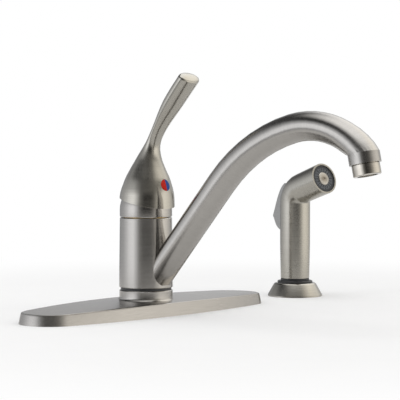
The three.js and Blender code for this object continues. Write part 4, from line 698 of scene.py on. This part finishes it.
def dress_brushed_pieces():
    """The large pieces of nickel."""
    dress(brushed("plate_metal", lengthwise_lines), "deck_plate")
    dress(brushed("turned_metal", turned_lines, rough=0.2, aniso=0.5), "bonnet_cap")
    dress(brushed("spout_metal", hub_and_tube_lines, rough=0.22, aniso=0.6), "spout")
    lever = {"rough": 0.2, "aniso": 0.5, "tones": NICKEL_WARM}
    dress(brushed("handle_metal", tube_lines, HANDLE_PATH, **lever), "handle")
    spray_axis = (SPRAY_X, 0.0)
    flange = brushed("spray_turned_metal", turned_lines, spray_axis, tones=NICKEL_WARM)
    dress(flange, "spray_flange")
    shell = {"rough": 0.28, "aniso": 0.35, "tones": NICKEL_WARM}
    dress(brushed("spray_metal", tube_lines, SPRAY_PATH, **shell), "spray_shell")
    trigger = {"rough": 0.31, "aniso": 0.35, "tones": NICKEL_GREY}
    dress(brushed("trigger_metal", tube_lines, SPRAY_PATH, **trigger), "spray_trigger")


def dress_trim():
    """The other pieces in view, and the black ones that carry on below the deck."""
    dress(machined("bright_metal", BRIGHT_NICKEL, 0.09), "aerator_housing")
    dress(turned_disc(), "spray_face_disc")
    dress(slotted_face(), "spray_face")
    dress(two_tone_button(), "index_button")
    dress(
        plastic("black_plastic", BLACK, 0.42),
        "spout_glide_ring",
        "spray_guide",
        "spray_guide_nut",
        "spray_hose_coupling",
    )


def dress_inner_pieces():
    """What is inside the faucet and the spray, or under the deck."""
    dress(
        plastic("rubber", RUBBER, 0.6),
        "base_gasket",
        "spout_oring_lower",
        "spout_oring_upper",
        "cartridge_seal",
        "aerator_washer",
        "spray_gasket",
    )
    dress(
        plastic("white_plastic", WHITE, 0.4),
        "cartridge_housing",
        "cartridge_turret",
        "diverter_valve",
        "aerator_insert",
        "spray_core",
        "spray_valve_stem",
    )
    dress(
        plastic("ceramic", CERAMIC, 0.16, grain_scale=0.8),
        "fixed_ceramic_disc",
        "moving_ceramic_disc",
    )
    dress(machined("copper", COPPER, 0.28), "hot_inlet_tube", "cold_inlet_tube")
    dress(
        machined("steel", STEEL, 0.3),
        "stud_washer_left",
        "stud_washer_right",
        "stem_pin",
        "lever_stem",
        "trigger_pin",
        "spray_valve_spring",
    )
    dress(
        machined("brass", BRASS, 0.3),
        "faucet_body",
        "wing_nut_left",
        "wing_nut_right",
        "cartridge_retaining_nut",
    )
    for name, tones, axis, pitch in THREADED:
        thread = machined(f"{name}_thread", tones, THREAD_ROUGHNESS, axis, pitch)
        dress(thread, name)


dress_brushed_pieces()
dress_trim()
dress_inner_pieces()

# ---------------------------------------------------------------------------
# Studio
# ---------------------------------------------------------------------------

TO_CAMERA = -CAMERA_FORWARD
CAMERA_TURN = math.atan2(TO_CAMERA.y, TO_CAMERA.x)

# The floor's side and centre are in metres, and its radii from the origin in
# millimetres. To the camera it fades to plain white from CLEAR_RADIUS to
# FADE_RADIUS. Mirrored rays see it in a darker tone, and from MIRROR_RADIUS to
# twice that it fades away and lets them through to the studio.
FLOOR_SIDE = 30.0
FLOOR_CENTRE = Vector((0.06, -0.04, 0))
CLEAR_RADIUS, FADE_RADIUS = 300.0, 620.0
MIRROR_RADIUS = 260.0
FLOOR_TONES = (grey(0.93), grey(0.95))
FLOOR_MIRRORED = grey(0.82)


def mirrored(shader):
    """The light path's outputs, and 1 for mirrored rays and rays through glass."""
    path = shader.node("ShaderNodeLightPath").outputs
    rays = (path["Is Glossy Ray"], path["Is Transmission Ray"])
    return path, shader.math("MAXIMUM", *rays)


def make_floor():
    """A pale floor that keeps the object's shadow and fades to white far from it."""
    bpy.ops.mesh.primitive_plane_add(size=FLOOR_SIDE, location=FLOOR_CENTRE)
    floor = bpy.context.active_object
    floor.name = "studio_floor"
    shader = new_shader("studio_floor")
    x, y, _ = shader.split(shader.point())
    radius = shader.length(x, y)
    far = shader.remap(radius, CLEAR_RADIUS, FADE_RADIUS, smooth=True)
    beyond = shader.remap(radius, MIRROR_RADIUS, 2 * MIRROR_RADIUS, smooth=True)
    path, bounced = mirrored(shader)
    mottle = shader.noise(shader.vector(x, y), scale=0.02, detail=3.0, roughness=0.5)
    tone = shader.mix(bounced, shader.mix(mottle, *FLOOR_TONES), FLOOR_MIRRORED)
    paper = shader.node("ShaderNodeBsdfDiffuse", {"Color": tone})
    glow = shader.node("ShaderNodeEmission", {"Color": grey(1.0), "Strength": 1.0})
    clear = shader.node("ShaderNodeBsdfTransparent")
    surface = paper
    for share, other in (
        (shader.math("MULTIPLY", far, path["Is Camera Ray"]), glow),
        (shader.math("MULTIPLY", beyond, bounced), clear),
    ):
        inputs = {0: share, 1: surface.outputs[0], 2: other.outputs[0]}
        surface = shader.node("ShaderNodeMixShader", inputs)
    shader.node("ShaderNodeOutputMaterial", {0: surface.outputs[0]})
    floor.data.materials.append(shader.owner)


# The studio as metal mirrors it, in four rings: below the horizon, about it,
# above it, and high up. Each place on a ring has its angle in degrees to the
# camera's right, its brightness, and how warm it is, or cool if that is below
# 0. About the horizon are a bright panel on the left, a dark gap round the
# camera and a warm panel on the right. High up is a bright panel from the right
# to the back.
BELOW_SURROUND = [
    (-180, 1.10, -0.02),
    (-160, 0.75, -0.04),
    (-135, 0.42, -0.04),
    (-110, 0.55, -0.04),
    (-90, 0.64, -0.04),
    (-70, 0.50, -0.03),
    (-50, 0.48, -0.02),
    (-30, 0.54, 0.00),
    (0, 0.62, 0.03),
    (40, 0.70, 0.05),
    (70, 0.78, 0.05),
    (100, 0.82, 0.04),
    (130, 0.88, 0.02),
    (160, 0.95, 0.00),
]
LOW_SURROUND = [
    (-180, 0.60, -0.03),
    (-160, 0.30, -0.04),
    (-145, 0.50, -0.04),
    (-115, 0.72, -0.05),
    (-93, 1.10, -0.05),
    (-76, 1.60, -0.05),
    (-56, 1.75, -0.05),
    (-43, 1.10, -0.05),
    (-27, 0.25, 0.00),
    (-10, 0.04, 0.02),
    (16, 0.04, 0.04),
    (30, 0.16, 0.06),
    (48, 0.80, 0.06),
    (62, 1.50, 0.06),
    (84, 1.50, 0.06),
    (106, 1.20, 0.06),
    (128, 0.75, 0.02),
    (158, 0.60, 0.00),
]
MIDDLE_SURROUND = [
    (-180, 0.60, -0.02),
    (-166, 0.08, -0.04),
    (-148, 0.12, -0.04),
    (-120, 0.46, -0.05),
    (-92, 0.70, -0.05),
    (-66, 0.85, -0.05),
    (-46, 0.50, -0.04),
    (-26, 0.19, 0.00),
    (10, 0.20, 0.04),
    (36, 0.24, 0.07),
    (62, 0.30, 0.07),
    (86, 0.58, 0.06),
    (106, 1.05, 0.05),
    (138, 1.45, 0.03),
    (165, 1.05, 0.00),
]
HIGH_SURROUND = [
    (-180, 1.20, -0.02),
    (-166, 0.30, -0.04),
    (-150, 0.04, -0.04),
    (-92, 0.03, -0.04),
    (-68, 0.08, -0.04),
    (-24, 0.14, 0.00),
    (4, 0.11, 0.03),
    (34, 0.28, 0.06),
    (62, 0.95, 0.07),
    (90, 1.60, 0.07),
    (135, 1.80, 0.05),
    (166, 1.75, 0.00),
]
# The rings that take over from the low one, and the angles in degrees above
# the horizon between which each does.
NEXT_RINGS = (
    (BELOW_SURROUND, -6, -14),
    (MIDDLE_SURROUND, 13, 22),
    (HIGH_SURROUND, 25, 37),
)
OVERHEAD = rgb(1.72, 1.73, 1.75)
OVERHEAD_ANGLES = (50, 75)
# Brightness of the white that lights the object from all round.
AMBIENT = 0.82


def surround(shader, share, places):
    """A ring's colour, with share going once round it from 0 to 1."""
    ramp = shader.node("ShaderNodeValToRGB", {0: share})
    stops = ramp.color_ramp.elements
    ready = len(stops)
    for i, (degrees, level, warmth) in enumerate(places):
        place = (degrees + 180) / 360
        stop = stops[i] if i < ready else stops.new(place)
        stop.position = place
        stop.color = rgb(level * (1 + warmth / 2), level, level * (1 - warmth))
    stops.new(1.0).color = stops[0].color
    return ramp.outputs[0]


def between_angles(shader, height, *angles):
    """From 0 to 1 between two angles in degrees above the horizon."""
    sines = (math.sin(math.radians(angle)) for angle in angles)
    return shader.remap(height, *sines)


def make_world():
    """Plain white light from all round, and the studio for mirrored rays."""
    world = bpy.data.worlds.new("studio")
    bpy.context.scene.world = world
    shader = Shader(world)
    direction = shader.node("ShaderNodeTexCoord").outputs["Generated"]
    x, y, z = shader.split(direction)
    angle = shader.math("ARCTAN2", y, x)
    from_behind = shader.math("SUBTRACT", angle, CAMERA_TURN - math.pi)
    share = shader.math("FRACT", shader.math("DIVIDE", from_behind, 2 * math.pi))
    around = surround(shader, share, LOW_SURROUND)
    for places, start, full in NEXT_RINGS:
        past = between_angles(shader, z, start, full)
        around = shader.mix(past, around, surround(shader, share, places))
    overhead = between_angles(shader, z, *OVERHEAD_ANGLES)
    around = shader.mix(overhead, around, OVERHEAD)
    path, bounced = mirrored(shader)
    shown = shader.math("MAXIMUM", path["Is Camera Ray"], bounced)
    light = shader.node(
        "ShaderNodeBackground",
        {
            "Color": shader.mix(bounced, grey(1.0), around),
            "Strength": shader.remap(shown, 0.0, 1.0, AMBIENT, 1.0),
        },
    )
    shader.node("ShaderNodeOutputWorld", {0: light.outputs[0]})


# Each lamp's name, angle to the camera's right and height above the horizon in
# degrees, size, brightness and tint. All are aimed at SUBJECT from LAMP_DISTANCE.
LAMPS = (
    ("key_softbox", -68, 24, (0.6, 1.2), 1.0, (1.0, 1.0, 1.0)),
    ("warm_softbox", 62, 30, (0.6, 1.2), 0.8, (1.0, 0.95, 0.86)),
    ("top_softbox", -110, 80, (1.0, 1.0), 1.2, (1.0, 1.0, 1.0)),
)
LAMP_DISTANCE = 1.6
SUBJECT = Vector((0.08, -0.06, 0.09))


def softbox(name, angle, height, size, brightness, tint):
    """A soft area lamp that no metal mirrors."""
    data = bpy.data.lights.new(name, "AREA")
    data.shape = "RECTANGLE"
    data.size, data.size_y = size
    # With this energy the lamp's surface has the brightness that is asked for.
    data.energy = math.pi * size[0] * size[1] * brightness
    data.color = tint
    turn, rise = CAMERA_TURN + math.radians(angle), math.radians(height)
    level = math.cos(rise)
    away = Vector((math.cos(turn) * level, math.sin(turn) * level, math.sin(rise)))
    light = bpy.data.objects.new(name, data)
    light.location = SUBJECT + away * LAMP_DISTANCE
    light.visible_glossy = False
    light.rotation_mode = "QUATERNION"
    light.rotation_quaternion = away.to_track_quat("Z", "Y")
    bpy.context.scene.collection.objects.link(light)


make_floor()
make_world()
for lamp in LAMPS:
    softbox(*lamp)

bpy.context.scene.view_settings.view_transform = "Standard"
